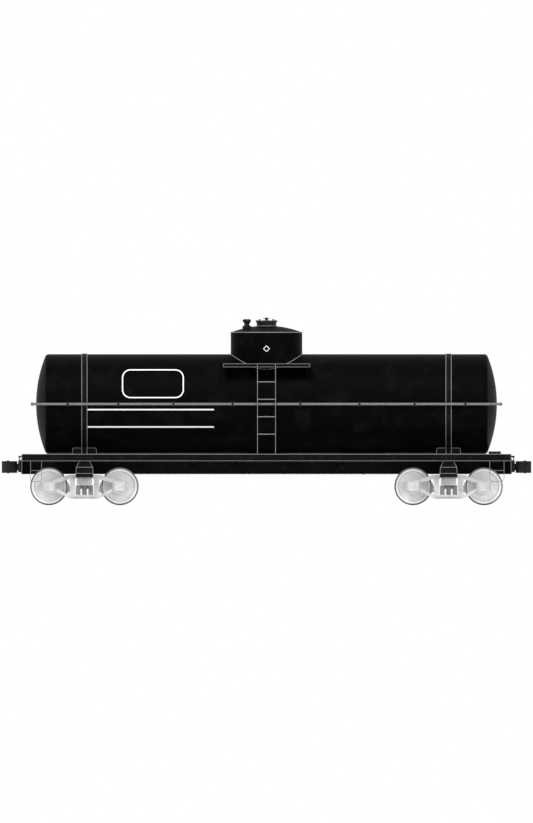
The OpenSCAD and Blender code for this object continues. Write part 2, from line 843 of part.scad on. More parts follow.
module wheel() {
  translate([0, wheel_in, axle_z]) rotate([-90, 0, 0]) rotate_extrude($fn = 96) wheel_profile();
}

module wheels(a, x) { color("#b8b8b8") at_truck(a) translate([x, 0, 0]) both_sides() wheel(); }

// Half of the axle's outline, from its end to the middle, as radius and distance out
axle_half = [[0, tip_y], [journal_r + collar_h, tip_y], [journal_r + collar_h, tip_y - collar_w],
  [journal_r, tip_y - collar_w - 4], [journal_r, dust_y], [seat_r - 5, dust_y - 6],
  [seat_r - 5, wheel_in + 152], [seat_r, wheel_in + 152], [seat_r, wheel_in - 18], [74, wheel_in - 60]];

module axle(a, x) {
  last = len(axle_half) - 1;
  color("#8a8a8a") at_truck(a) translate([x, 0, axle_z]) rotate([-90, 0, 0])
    rotate_extrude() polygon(concat([for (p = axle_half) [p[0], -p[1]]],
      [for (i = [last : -1 : 0]) axle_half[i]]));
}

// ---------- assembly ----------

tank_barrel();
tank_heads();
tank_bands();
tank_saddles();
tank_anchor();
dome_ring();
dome_head();
manway_neck();
manway_cover();
safety_valve();
dome_platforms();
ladders();
handrail();
handrail_brackets();
centre_sill();
side_channels();
running_boards();
board_brackets();
end_sills();
end_platforms();
brake_platform();
body_bolsters();
centre_plates();
side_bearings();
strikers();
coupler_a();
coupler_b();
knuckle_a();
knuckle_b();
uncoupling_levers();
sill_steps();
grab_irons();
air_reservoir();
brake_cylinder();
brake_valve();
brake_rods();
bottom_outlet();
heater_pipes();
truck_side_frames(true);  // truck_a_side_frames
truck_bolster(true);  // truck_a_bolster
truck_springs(true);  // truck_a_springs
truck_brake_beams(true);  // truck_a_brake_beams
truck_box_lids(true);  // truck_a_box_lids
wheels(true, axle_x);  // wheels_a1
axle(true, axle_x);  // axle_a1
wheels(true, -axle_x);  // wheels_a2
axle(true, -axle_x);  // axle_a2
truck_side_frames(false);  // truck_b_side_frames
truck_bolster(false);  // truck_b_bolster
truck_springs(false);  // truck_b_springs
truck_brake_beams(false);  // truck_b_brake_beams
truck_box_lids(false);  // truck_b_box_lids
wheels(false, axle_x);  // wheels_b1
axle(false, axle_x);  // axle_b1
wheels(false, -axle_x);  // wheels_b2
axle(false, -axle_x);  // axle_b2
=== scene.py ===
import math

import bpy
import bmesh
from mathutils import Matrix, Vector


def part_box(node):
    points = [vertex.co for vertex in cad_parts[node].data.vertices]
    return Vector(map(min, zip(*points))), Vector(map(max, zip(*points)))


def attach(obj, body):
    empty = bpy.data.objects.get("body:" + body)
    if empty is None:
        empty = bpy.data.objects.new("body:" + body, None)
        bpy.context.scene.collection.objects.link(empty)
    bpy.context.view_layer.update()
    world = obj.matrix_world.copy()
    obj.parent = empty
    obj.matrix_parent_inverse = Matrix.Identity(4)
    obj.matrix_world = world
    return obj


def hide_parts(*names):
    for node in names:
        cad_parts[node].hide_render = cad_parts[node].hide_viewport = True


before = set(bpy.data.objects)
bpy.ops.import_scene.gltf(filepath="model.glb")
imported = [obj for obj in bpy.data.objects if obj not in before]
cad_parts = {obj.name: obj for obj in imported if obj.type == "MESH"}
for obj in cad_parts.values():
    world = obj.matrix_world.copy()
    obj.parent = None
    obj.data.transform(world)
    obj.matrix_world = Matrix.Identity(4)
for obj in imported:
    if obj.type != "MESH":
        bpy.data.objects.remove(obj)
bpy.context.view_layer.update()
pi = math.pi


# where the CAD pieces lie, in metres

def boxOf(node):
    low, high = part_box(node)
    return Vector(low), Vector(high)


barrelLow, barrelHigh = boxOf("tank_barrel")
tankR = (barrelHigh.y - barrelLow.y) / 2
tankZ = (barrelHigh.z + barrelLow.z) / 2
barrelX = barrelHigh.x
ringLow, ringHigh = boxOf("dome_ring")
domeR = (ringHigh.x - ringLow.x) / 2
seamZ = ringHigh.z
domeTop = boxOf("dome_head")[1].z
deckZ = boxOf("running_boards")[1].z
carY = boxOf("side_channels")[1].y
endX = boxOf("end_sills")[1].x
channelZ = boxOf("side_channels")[0].z
sillZ = boxOf("centre_sill")[0].z
truckX = (boxOf("wheels_b1")[0].x + boxOf("wheels_b2")[1].x) / 2
outerWheel = boxOf("wheels_b1")
axleZ = (outerWheel[0].z + outerWheel[1].z) / 2
axleX = (outerWheel[0].x + outerWheel[1].x) / 2 - truckX
print("frame loaded,", len(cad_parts), "nodes")


# materials

def newMaterial(name):
    mat = bpy.data.materials.new(name)
    mat.use_nodes = True
    tree = mat.node_tree
    tree.nodes.clear()
    out = tree.nodes.new("ShaderNodeOutputMaterial")
    shader = tree.nodes.new("ShaderNodeBsdfPrincipled")
    tree.links.new(shader.outputs["BSDF"], out.inputs["Surface"])
    return mat, tree, shader


def objectCoords(tree, scale):
    coords = tree.nodes.new("ShaderNodeTexCoord")
    mapping = tree.nodes.new("ShaderNodeMapping")
    mapping.inputs["Scale"].default_value = scale
    tree.links.new(coords.outputs["Object"], mapping.inputs["Vector"])
    return mapping.outputs["Vector"]


def noise(tree, vector, scale, detail=4.0, rough=0.5):
    node = tree.nodes.new("ShaderNodeTexNoise")
    node.inputs["Scale"].default_value = scale
    node.inputs["Detail"].default_value = detail
    node.inputs["Roughness"].default_value = rough
    tree.links.new(vector, node.inputs["Vector"])
    return node.outputs["Fac"]


def ramp(tree, value, stops):
    node = tree.nodes.new("ShaderNodeValToRGB")
    line = node.color_ramp
    while len(line.elements) > 1:
        line.elements.remove(line.elements[-1])
    for i, (place, colour) in enumerate(stops):
        stop = line.elements[0] if i == 0 else line.elements.new(place)
        stop.position = place
        stop.color = (*colour, 1.0)
    tree.links.new(value, node.inputs["Fac"])
    return node.outputs["Color"]


def blendColours(tree, amount, first, second, mode="MIX"):
    node = tree.nodes.new("ShaderNodeMix")
    node.data_type = "RGBA"
    node.blend_type = mode
    for socket, value in ((node.inputs[0], amount), (node.inputs[6], first), (node.inputs[7], second)):
        if isinstance(value, bpy.types.NodeSocket):
            tree.links.new(value, socket)
        elif isinstance(value, (int, float)):
            socket.default_value = value
        else:
            socket.default_value = (*value, 1.0)
    return node.outputs[2]


def bump(tree, shader, height, distance, strength=1.0):
    node = tree.nodes.new("ShaderNodeBump")
    node.inputs["Distance"].default_value = distance
    node.inputs["Strength"].default_value = strength
    tree.links.new(height, node.inputs["Height"])
    tree.links.new(node.outputs["Normal"], shader.inputs["Normal"])


def mathNode(tree, operation, *values):
    node = tree.nodes.new("ShaderNodeMath")
    node.operation = operation
    for socket, value in zip(node.inputs, values):
        if isinstance(value, bpy.types.NodeSocket):
            tree.links.new(value, socket)
        else:
            socket.default_value = value
    return node.outputs[0]


# base colour, dust or wear colour over it, how much of that shows, and the surface
finishes = {
    "tankBlack": dict(base=(0.0015, 0.0015, 0.0016), worn=(0.006, 0.0058, 0.0056), spread=(0.50, 0.80),
                      grain=2.3, rough=(0.42, 0.54), bumpScale=55, bumpDepth=0.0006, spec=0.02),
    "frameBlack": dict(base=(0.0018, 0.0018, 0.002), worn=(0.0095, 0.009, 0.0082), spread=(0.50, 0.78),
                       grain=5.0, rough=(0.5, 0.66), bumpScale=90, bumpDepth=0.0008, spec=0.07),
    "fittingBlack": dict(base=(0.004, 0.004, 0.0044), worn=(0.017, 0.016, 0.015), spread=(0.48, 0.72),
                         grain=14.0, rough=(0.42, 0.6), bumpScale=160, bumpDepth=0.0005, spec=0.2),
    "lineGrey": dict(base=(0.22, 0.22, 0.22), worn=(0.13, 0.13, 0.13), spread=(0.5, 0.8),
                     grain=11.0, rough=(0.42, 0.58), bumpScale=140, bumpDepth=0.0004, spec=0.4),
    "railGrey": dict(base=(0.17, 0.17, 0.17), worn=(0.1, 0.1, 0.1), spread=(0.5, 0.8),
                     grain=11.0, rough=(0.42, 0.58), bumpScale=140, bumpDepth=0.0004, spec=0.3),
    "castGrey": dict(base=(0.6, 0.6, 0.6), worn=(0.44, 0.435, 0.42), spread=(0.46, 0.74),
                     grain=7.0, rough=(0.6, 0.78), bumpScale=120, bumpDepth=0.0014, spec=0.3),
    "castBlack": dict(base=(0.009, 0.009, 0.009), worn=(0.028, 0.026, 0.023), spread=(0.46, 0.74),
                      grain=9.0, rough=(0.55, 0.75), bumpScale=130, bumpDepth=0.0014, spec=0.22),
    "springSteel": dict(base=(0.34, 0.34, 0.34), worn=(0.2, 0.195, 0.19), spread=(0.5, 0.7),
                        grain=18.0, rough=(0.42, 0.6), bumpScale=200, bumpDepth=0.0004, spec=0.4),
    "stencilWhite": dict(base=(0.9, 0.9, 0.89), worn=(0.72, 0.72, 0.71), spread=(0.58, 0.85),
                         grain=9.0, rough=(0.5, 0.62), bumpScale=120, bumpDepth=0.0003, spec=0.3),
}


def paint(name, size):
    mat, tree, shader = newMaterial(name)
    where = objectCoords(tree, (1, 1, 1))
    patches = noise(tree, where, size["grain"], 6.0, 0.6)
    fine = noise(tree, where, size["bumpScale"], 3.0, 0.55)
    worn = ramp(tree, patches, [(size["spread"][0], (0, 0, 0)), (size["spread"][1], (1, 1, 1))])
    tree.links.new(blendColours(tree, worn, size["base"], size["worn"]), shader.inputs["Base Color"])
    span = tree.nodes.new("ShaderNodeMapRange")
    span.inputs["To Min"].default_value, span.inputs["To Max"].default_value = size["rough"]
    tree.links.new(patches, span.inputs["Value"])
    tree.links.new(span.outputs["Result"], shader.inputs["Roughness"])
    shader.inputs["Specular IOR Level"].default_value = size["spec"]
    bump(tree, shader, fine, size["bumpDepth"])
    return mat


mats = {name: paint(name, size) for name, size in finishes.items()}


wheelRings = dict(plate=0.92, rim=0.94, hub=0.86, edge=0.21, groove=0.62, dust=0.92)


def wheelSteel():
    # pale rolled steel with dusty patches; the flange, the rim's inner lip and the hub are darker rings
    mat, tree, shader = newMaterial("wheelSteel")
    where = objectCoords(tree, (1, 1, 1))
    split = tree.nodes.new("ShaderNodeSeparateXYZ")
    tree.links.new(where, split.inputs[0])
    along = mathNode(tree, "ABSOLUTE", split.outputs[0])
    fromTruck = mathNode(tree, "ABSOLUTE", mathNode(tree, "SUBTRACT", along, truckX))
    dx = mathNode(tree, "SUBTRACT", fromTruck, axleX)
    dz = mathNode(tree, "SUBTRACT", split.outputs[2], axleZ)
    radius = mathNode(tree, "SQRT", mathNode(tree, "ADD", mathNode(tree, "MULTIPLY", dx, dx),
                                             mathNode(tree, "MULTIPLY", dz, dz)))
    share = mathNode(tree, "DIVIDE", radius, 0.5)
    shades = [(0.0, "hub"), (0.262, "hub"), (0.272, "groove"), (0.286, "groove"), (0.296, "plate"),
              (0.694, "plate"), (0.704, "groove"), (0.718, "groove"), (0.728, "rim"), (0.812, "rim"),
              (0.820, "edge"), (0.9, "edge")]
    tone = ramp(tree, share, [(place, (wheelRings[k],) * 3) for place, k in shades])
    patches = noise(tree, where, 6.0, 6.0, 0.6)
    fine = noise(tree, where, 150, 3.0, 0.6)
    dust = ramp(tree, patches, [(0.42, (1, 1, 1)), (0.75, (wheelRings["dust"],) * 3)])
    tree.links.new(blendColours(tree, 1.0, tone, dust, "MULTIPLY"), shader.inputs["Base Color"])
    shader.inputs["Roughness"].default_value = 0.5
    shader.inputs["Specular IOR Level"].default_value = 0.3
    bump(tree, shader, fine, 0.0006)
    return mat


def turnedSteel():
    mat, tree, shader = newMaterial("turnedSteel")
    where = objectCoords(tree, (1, 60, 1))
    rings = noise(tree, where, 6.0, 3.0, 0.6)
    tone = ramp(tree, rings, [(0.3, (0.34, 0.34, 0.34)), (0.7, (0.5, 0.5, 0.5))])
    tree.links.new(tone, shader.inputs["Base Color"])
    shader.inputs["Metallic"].default_value = 0.7
    shader.inputs["Roughness"].default_value = 0.42
    bump(tree, shader, rings, 0.0004)
    return mat


def boardWood():
    # dark painted planks with the grain along the car
    mat, tree, shader = newMaterial("boardWood")
    where = objectCoords(tree, (1.2, 26, 26))
    grain = noise(tree, where, 3.0, 8.0, 0.65)
    tone = ramp(tree, grain, [(0.3, (0.006, 0.006, 0.006)), (0.62, (0.014, 0.013, 0.012)),
                              (0.8, (0.05, 0.046, 0.04))])
    tree.links.new(tone, shader.inputs["Base Color"])
    shader.inputs["Roughness"].default_value = 0.72
    shader.inputs["Specular IOR Level"].default_value = 0.2
    bump(tree, shader, grain, 0.0012)
    return mat


mats["wheelSteel"] = wheelSteel()
mats["turnedSteel"] = turnedSteel()
mats["boardWood"] = boardWood()
print("materials made,", len(mats))


# the CAD pieces' finishes

finishOf = {
    "tankBlack": ["tank_barrel", "tank_heads", "dome_ring", "dome_head"],
    "frameBlack": ["tank_bands", "tank_saddles", "tank_anchor", "centre_sill", "side_channels",
                   "board_brackets", "end_sills", "body_bolsters", "side_bearings", "dome_platforms",
                   "running_boards", "end_platforms", "brake_platform"],
    "fittingBlack": ["manway_neck", "manway_cover", "safety_valve", "handrail_brackets", "uncoupling_levers",
                     "air_reservoir", "brake_cylinder", "brake_valve", "brake_rods",
                     "bottom_outlet", "heater_pipes"],
    "lineGrey": ["ladders", "grab_irons"],
    "railGrey": ["handrail", "sill_steps"],
    "castBlack": ["strikers", "coupler_a", "coupler_b", "knuckle_a", "knuckle_b", "centre_plates"],
    "castGrey": [f"truck_{t}_{part}" for t in "ab"
                 for part in ("side_frames", "bolster", "brake_beams", "box_lids")],
    "springSteel": ["truck_a_springs", "truck_b_springs"],
    "wheelSteel": ["wheels_a1", "wheels_a2", "wheels_b1", "wheels_b2"],
    "turnedSteel": ["axle_a1", "axle_a2", "axle_b1", "axle_b2"],
}
for finish, nodes in finishOf.items():
    for node in nodes:
        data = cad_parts[node].data
        data.materials.clear()
        data.materials.append(mats[finish])
unfinished = set(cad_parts) - {n for nodes in finishOf.values() for n in nodes}
print("nodes finished, left over:", sorted(unfinished))


# camera, floor and light

camera = dict(frameHeight=19.45, aimZ=2.214, distance=40.0)
cam = bpy.data.cameras.new("camera")
cam.type = "ORTHO"
cam.ortho_scale = camera["frameHeight"]
cam.clip_end = 200
camObject = bpy.data.objects.new("camera", cam)
camObject.location = (0, -camera["distance"], camera["aimZ"])
camObject.rotation_euler = (pi / 2, 0, 0)
bpy.context.scene.collection.objects.link(camObject)
bpy.context.scene.camera = camObject

studio = dict(floorSize=160.0, floorDrop=0.002, floorColour=(0.9, 0.9, 0.9), sky=0.8,
              keyPower=1.5, keyAim=(0.35, 0.8, -1.0), keySoft=20,
              fillPower=0.7, fillAim=(-0.6, 0.9, -0.3), fillSoft=40)


def makeFloor():
    mesh = bpy.data.meshes.new("floor")
    half = studio["floorSize"] / 2
    corners = [(x * half, y * half, -studio["floorDrop"]) for x, y in ((-1, -1), (1, -1), (1, 1), (-1, 1))]
    mesh.from_pydata(corners, [], [(0, 1, 2, 3)])
    floor = bpy.data.objects.new("floor", mesh)
    bpy.context.scene.collection.objects.link(floor)
    mat, _, shader = newMaterial("floorPaint")
    shader.inputs["Base Color"].default_value = (*studio["floorColour"], 1)
    shader.inputs["Roughness"].default_value = 0.9
    mesh.materials.append(mat)


def makeSky():
    world = bpy.data.worlds.new("studio")
    bpy.context.scene.world = world
    world.use_nodes = True
    tree = world.node_tree
    tree.nodes.clear()
    out = tree.nodes.new("ShaderNodeOutputWorld")
    seen = tree.nodes.new("ShaderNodeBackground")
    lit = tree.nodes.new("ShaderNodeBackground")
    for node, strength in ((seen, 1.0), (lit, studio["sky"])):
        node.inputs["Strength"].default_value = strength
        node.inputs["Color"].default_value = (1, 1, 1, 1)
    path = tree.nodes.new("ShaderNodeLightPath")
    mix = tree.nodes.new("ShaderNodeMixShader")
    tree.links.new(path.outputs["Is Camera Ray"], mix.inputs["Fac"])
    tree.links.new(lit.outputs["Background"], mix.inputs[1])
    tree.links.new(seen.outputs["Background"], mix.inputs[2])
    tree.links.new(mix.outputs["Shader"], out.inputs["Surface"])


def sun(name, power, aim, softness):
    lamp = bpy.data.lights.new(name, "SUN")
    lamp.energy = power
    lamp.angle = math.radians(softness)
    holder = bpy.data.objects.new(name, lamp)
    holder.rotation_euler = Vector(aim).to_track_quat("-Z", "Y").to_euler()
    bpy.context.scene.collection.objects.link(holder)


makeFloor()
makeSky()
sun("keyLight", studio["keyPower"], studio["keyAim"], studio["keySoft"])
sun("fillLight", studio["fillPower"], studio["fillAim"], studio["fillSoft"])
bpy.context.scene.view_settings.view_transform = "Standard"
print("camera and light placed")


# Geometry Nodes: what repeats

def nodeGroup(name, inputs):
    # a tree with a geometry input and the named inputs, each (label, kind, value)
    group = bpy.data.node_groups.new(name, "GeometryNodeTree")
    group.interface.new_socket("Geometry", in_out="INPUT", socket_type="NodeSocketGeometry")
    for label, kind, value in inputs:
        socket = group.interface.new_socket(label, in_out="INPUT", socket_type="NodeSocket" + kind)
        if value is not None:
            socket.default_value = value
    group.interface.new_socket("Geometry", in_out="OUTPUT", socket_type="NodeSocketGeometry")
    return group, group.nodes.new("NodeGroupInput"), group.nodes.new("NodeGroupOutput")


def wire(group, *pairs):
    for a, b in pairs:
        group.links.new(a, b)


def finishTree(group, source, inputNode, outputNode):
    real = group.nodes.new("GeometryNodeRealizeInstances")
    coat = group.nodes.new("GeometryNodeSetMaterial")
    wire(group, (source, real.inputs[0]), (real.outputs[0], coat.inputs["Geometry"]),
         (inputNode.outputs["Material"], coat.inputs["Material"]), (coat.outputs[0], outputNode.inputs[0]))


def headsTree():
    # a bolt or rivet at each point, its head along the point's "aim"
    group, src, out = nodeGroup("fastenerHeads", [
        ("Radius", "Float", 0.012), ("Height", "Float", 0.01), ("Sides", "Int", 6), ("Crown", "Float", 0.6),
        ("Seed", "Int", 3), ("Material", "Material", None)])
    body = group.nodes.new("GeometryNodeMeshCylinder")
    cap = group.nodes.new("GeometryNodeMeshCone")
    join = group.nodes.new("GeometryNodeJoinGeometry")
    crownR = mathNode(group, "MULTIPLY", src.outputs["Radius"], src.outputs["Crown"])
    capH = mathNode(group, "MULTIPLY", src.outputs["Height"], 0.45)
    half = mathNode(group, "MULTIPLY", src.outputs["Height"], 0.5)
    lift = group.nodes.new("GeometryNodeTransform")
    liftBy = group.nodes.new("ShaderNodeCombineXYZ")
    aim = group.nodes.new("GeometryNodeInputNamedAttribute")
    aim.data_type = "FLOAT_VECTOR"
    aim.inputs["Name"].default_value = "aim"
    turn = group.nodes.new("FunctionNodeAlignRotationToVector")
    turn.axis = "Z"
    spin = group.nodes.new("FunctionNodeRandomValue")
    spin.data_type = "FLOAT"
    spin.inputs[3].default_value = 2 * pi
    spinAxis = group.nodes.new("FunctionNodeAxisAngleToRotation")
    both = group.nodes.new("FunctionNodeRotateRotation")
    both.rotation_space = "LOCAL"
    place = group.nodes.new("GeometryNodeInstanceOnPoints")
    wire(group,
         (src.outputs["Sides"], body.inputs["Vertices"]), (src.outputs["Radius"], body.inputs["Radius"]),
         (src.outputs["Height"], body.inputs["Depth"]), (src.outputs["Sides"], cap.inputs["Vertices"]),
         (src.outputs["Radius"], cap.inputs["Radius Bottom"]), (crownR, cap.inputs["Radius Top"]),
         (capH, cap.inputs["Depth"]), (half, liftBy.inputs[2]),
         (cap.outputs["Mesh"], lift.inputs["Geometry"]), (liftBy.outputs[0], lift.inputs["Translation"]),
         (body.outputs["Mesh"], join.inputs[0]), (lift.outputs[0], join.inputs[0]),
         (src.outputs["Geometry"], place.inputs["Points"]), (join.outputs[0], place.inputs["Instance"]),
         (aim.outputs["Attribute"], turn.inputs["Vector"]), (src.outputs["Seed"], spin.inputs["Seed"]),
         (spin.outputs[1], spinAxis.inputs["Angle"]), (turn.outputs[0], both.inputs["Rotation"]),
         (spinAxis.outputs[0], both.inputs["Rotate By"]), (both.outputs[0], place.inputs["Rotation"]))
    finishTree(group, place.outputs[0], src, out)
    return group


def coilTree():
    # a coil spring standing on each point
    group, src, out = nodeGroup("coilSprings", [
        ("Coil Radius", "Float", 0.05), ("Wire Radius", "Float", 0.012), ("Height", "Float", 0.2),
        ("Turns", "Float", 6.0), ("Material", "Material", None)])
    spiral = group.nodes.new("GeometryNodeCurveSpiral")
    spiral.inputs["Resolution"].default_value = 26
    ringShape = group.nodes.new("GeometryNodeCurvePrimitiveCircle")
    ringShape.inputs["Resolution"].default_value = 10
    tube = group.nodes.new("GeometryNodeCurveToMesh")
    tube.inputs["Fill Caps"].default_value = True
    place = group.nodes.new("GeometryNodeInstanceOnPoints")
    wire(group,
         (src.outputs["Coil Radius"], spiral.inputs["Start Radius"]),
         (src.outputs["Coil Radius"], spiral.inputs["End Radius"]),
         (src.outputs["Height"], spiral.inputs["Height"]), (src.outputs["Turns"], spiral.inputs["Rotations"]),
         (src.outputs["Wire Radius"], ringShape.inputs["Radius"]),
         (spiral.outputs[0], tube.inputs["Curve"]), (ringShape.outputs[0], tube.inputs["Profile Curve"]),
         (src.outputs["Geometry"], place.inputs["Points"]), (tube.outputs[0], place.inputs["Instance"]))
    finishTree(group, place.outputs[0], src, out)
    return group


def planksTree():
    # boards side by side from each point, each with its own small drop
    group, src, out = nodeGroup("planks", [
        ("Length", "Float", 1.0), ("Width", "Float", 0.1), ("Thickness", "Float", 0.016), ("Count", "Int", 3),
        ("Step", "Vector", (0, 1, 0)), ("Turn", "Float", 0.0), ("Seed", "Int", 5),
        ("Material", "Material", None)])
    board = group.nodes.new("GeometryNodeMeshCube")
    size = group.nodes.new("ShaderNodeCombineXYZ")
    row = group.nodes.new("GeometryNodeMeshLine")
    place = group.nodes.new("GeometryNodeInstanceOnPoints")
    spin = group.nodes.new("ShaderNodeCombineXYZ")
    at = group.nodes.new("GeometryNodeInstanceOnPoints")
    drop = group.nodes.new("FunctionNodeRandomValue")
    drop.data_type = "FLOAT_VECTOR"
    drop.inputs[0].default_value = (0, 0, -0.0012)
    drop.inputs[1].default_value = (0, 0, 0)
    nudge = group.nodes.new("GeometryNodeTranslateInstances")
    wire(group,
         (src.outputs["Length"], size.inputs[0]), (src.outputs["Width"], size.inputs[1]),
         (src.outputs["Thickness"], size.inputs[2]), (size.outputs[0], board.inputs["Size"]),
         (src.outputs["Count"], row.inputs["Count"]), (src.outputs["Step"], row.inputs["Offset"]),
         (row.outputs[0], place.inputs["Points"]), (board.outputs[0], place.inputs["Instance"]),
         (src.outputs["Turn"], spin.inputs[2]), (spin.outputs[0], place.inputs["Rotation"]),
         (src.outputs["Seed"], drop.inputs["Seed"]), (place.outputs[0], nudge.inputs["Instances"]),
         (drop.outputs[0], nudge.inputs["Translation"]),
         (src.outputs["Geometry"], at.inputs["Points"]), (nudge.outputs[0], at.inputs["Instance"]))
    finishTree(group, at.outputs[0], src, out)
    return group


def beadTree():
    # a round bead swept along the base mesh's edges
    group, src, out = nodeGroup("weldBead", [
        ("Radius", "Float", 0.006), ("Ripple", "Float", 0.0012), ("Seed", "Int", 2),
        ("Material", "Material", None)])
    line = group.nodes.new("GeometryNodeMeshToCurve")
    shape = group.nodes.new("GeometryNodeCurvePrimitiveCircle")
    shape.inputs["Resolution"].default_value = 6
    tube = group.nodes.new("GeometryNodeCurveToMesh")
    ripple = group.nodes.new("FunctionNodeRandomValue")
    ripple.data_type = "FLOAT"
    width = mathNode(group, "ADD", src.outputs["Radius"], ripple.outputs[1])
    unit = mathNode(group, "DIVIDE", width, src.outputs["Radius"])
    size = group.nodes.new("GeometryNodeSetCurveRadius")
    wire(group,
         (src.outputs["Geometry"], line.inputs[0]), (src.outputs["Radius"], shape.inputs["Radius"]),
         (src.outputs["Seed"], ripple.inputs["Seed"]), (src.outputs["Ripple"], ripple.inputs[3]),
         (line.outputs[0], size.inputs[0]), (unit, size.inputs["Radius"]),
         (size.outputs[0], tube.inputs["Curve"]), (shape.outputs[0], tube.inputs["Profile Curve"]))
    if "Scale" in tube.inputs:
        group.links.new(unit, tube.inputs["Scale"])
    finishTree(group, tube.outputs[0], src, out)
    return group


trees = {"heads": headsTree(), "coils": coilTree(), "planks": planksTree(), "beads": beadTree()}


def grow(name, tree, base, values, mat, body):
    # runs a tree on a base mesh and keeps the result as a plain piece
    holder = bpy.data.objects.new(name + "Base", base)
    bpy.context.scene.collection.objects.link(holder)
    mod = holder.modifiers.new("grow", "NODES")
    mod.node_group = tree
    ids = {s.name: s.identifier for s in tree.interface.items_tree if s.in_out == "INPUT"}
    for label, value in {**values, "Material": mat}.items():
        mod[ids[label]] = value
    graph = bpy.context.evaluated_depsgraph_get()
    made = bpy.data.meshes.new_from_object(holder.evaluated_get(graph), preserve_all_data_layers=True,
                                           depsgraph=graph)
    made.name = name
    if "aim" in made.attributes:
        made.attributes.remove(made.attributes["aim"])
    bpy.data.objects.remove(holder)
    return settle(name, made, body)


def settle(name, mesh, body):
    obj = bpy.data.objects.new(name, mesh)
    bpy.context.scene.collection.objects.link(obj)
    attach(obj, body)
    return obj


def pointMesh(points):
    # points are (place, aim) pairs
    mesh = bpy.data.meshes.new("points")
    mesh.from_pydata([tuple(p) for p, _ in points], [], [])
    aims = mesh.attributes.new("aim", "FLOAT_VECTOR", "POINT")
    for i, (_, a) in enumerate(points):
        aims.data[i].vector = a
    return mesh


def edgeMesh(loops, closed=True):
    verts, edges = [], []
    for loop in loops:
        first = len(verts)
        verts += [tuple(p) for p in loop]
        edges += [(first + i, first + i + 1) for i in range(len(loop) - 1)]
        if closed:
            edges.append((first + len(loop) - 1, first))
    mesh = bpy.data.meshes.new("lines")
    mesh.from_pydata(verts, edges, [])
    return mesh


def row(a, b, count, aim):
    a, b = Vector(a), Vector(b)
    return [(a + (b - a) * (i / max(1, count - 1)), Vector(aim)) for i in range(count)]


def circle(centre, radius, axis, steps, start=0.0):
    # points round a circle whose axis is "X" or "Z"
    x, y, z = centre
    found = []
    for i in range(steps):
        t = start + 2 * pi * i / steps
        c, s = radius * math.cos(t), radius * math.sin(t)
        found.append((x, y + c, z + s) if axis == "X" else (x + c, y + s, z))
    return found


def ringPoints(centre, radius, count, axis, aim, start=0.0):
    return [(Vector(p), Vector(aim)) for p in circle(centre, radius, axis, count, start)]


def mirrored(points, x=False, y=False):
    more = list(points)
    if x:
        more += [(Vector((-p.x, p.y, p.z)), Vector((-a.x, a.y, a.z))) for p, a in more]
    if y:
        more += [(Vector((p.x, -p.y, p.z)), Vector((a.x, -a.y, a.z))) for p, a in more]
    return more


sunk = 0.001  # how far a bolt's or rivet's foot lies inside its face


def boltGroup(name, points, radius, height, body="car_body", mat="fittingBlack",
              sides=6, crown=0.72):
    return grow(name, trees["heads"], pointMesh(points),
                {"Radius": radius, "Height": height, "Sides": sides, "Crown": crown, "Seed": 3},
                mats[mat], body)


def lineLoops(name, loops, radius, mat="lineGrey", body="car_body", closed=True,
              ripple=0.0, seed=1):
    # plain round trim along outlines, or a weld bead where it has a ripple
    return grow(name, trees["beads"], edgeMesh(loops, closed),
                {"Radius": radius, "Ripple": ripple, "Seed": seed}, mats[mat], body)


# tank and dome

welds = dict(bead=0.006, ripple=0.0012, courses=(-1.12, 1.12), domeBead=0.011, domeRipple=0.0015, steps=160,
             domeSteps=220)


def tankWelds():
    loops = [circle((x, 0, tankZ), tankR, "X", welds["steps"])
             for x in (*welds["courses"], -barrelX, barrelX)]
    lineLoops("tankWelds", loops, welds["bead"], "tankBlack", ripple=welds["ripple"],
              seed=4)
    foot = [(x, y, tankZ + math.sqrt(tankR ** 2 - y ** 2))
            for x, y, _ in circle((0, 0, 0), domeR, "Z", welds["domeSteps"])]
    seam = circle((0, 0, seamZ), domeR, "Z", welds["steps"])
    lineLoops("domeWelds", [foot, seam], welds["domeBead"], ripple=welds["domeRipple"], seed=9)


straps = dict(edge=0.0075, thick=0.012, nut=0.016, nutX=0.033, nutZ=(0.04, 0.12), arcSteps=140)


def strapEdges():
    # pale edges on the tank straps down to their feet on the saddles, and the nuts that hold the feet
    low, high = boxOf("tank_bands")
    half = high.x - truckX
    outer = tankR + straps["thick"]
    footY = boxOf("tank_saddles")[1].y + straps["thick"]
    reach = pi - math.asin(footY / outer)
    steps = straps["arcSteps"]
    arc = [reach * (2 * i / steps - 1) for i in range(steps + 1)]
    loops, nuts = [], []
    for side in (-1, 1):
        for x in (side * truckX - half, side * truckX + half):
            loops.append([(x, -footY, low.z + 0.002)]
                         + [(x, outer * math.sin(a), tankZ + outer * math.cos(a)) for a in arc]
                         + [(x, footY, low.z + 0.002)])
        for dx in (-straps["nutX"], straps["nutX"]):
            ends = [(side * truckX + dx, footY - sunk, low.z + z) for z in straps["nutZ"]]
            nuts += row(*ends, 2, (0, 1, 0))
    lineLoops("strapEdges", loops, straps["edge"], closed=False, ripple=0.0008, seed=6)
    boltGroup("strapNuts", mirrored(nuts, y=True), straps["nut"], 0.013)


# stripes and outlines painted on the tank's sides: the lettering between them is left off
marks = dict(stripeX=(-4.248, -1.243), stripeZ=(2.259, 1.849), stripeW=0.034, proud=0.0016, sunk=-0.0008,
             panelX=(-3.416, -1.952), panelZ=(2.529, 3.212), panelLine=0.028, panelCorner=0.2,
             diamondZ=3.698, diamond=0.16, diamondLine=0.0224)


def onTank(x, z, hand, lift):
    y = math.sqrt(max(0.0, (tankR + lift) ** 2 - (z - tankZ) ** 2))
    return (x, hand * y, z)


def onDome(x, z, hand, lift):
    return (x, hand * math.sqrt((domeR + lift) ** 2 - x ** 2), z)


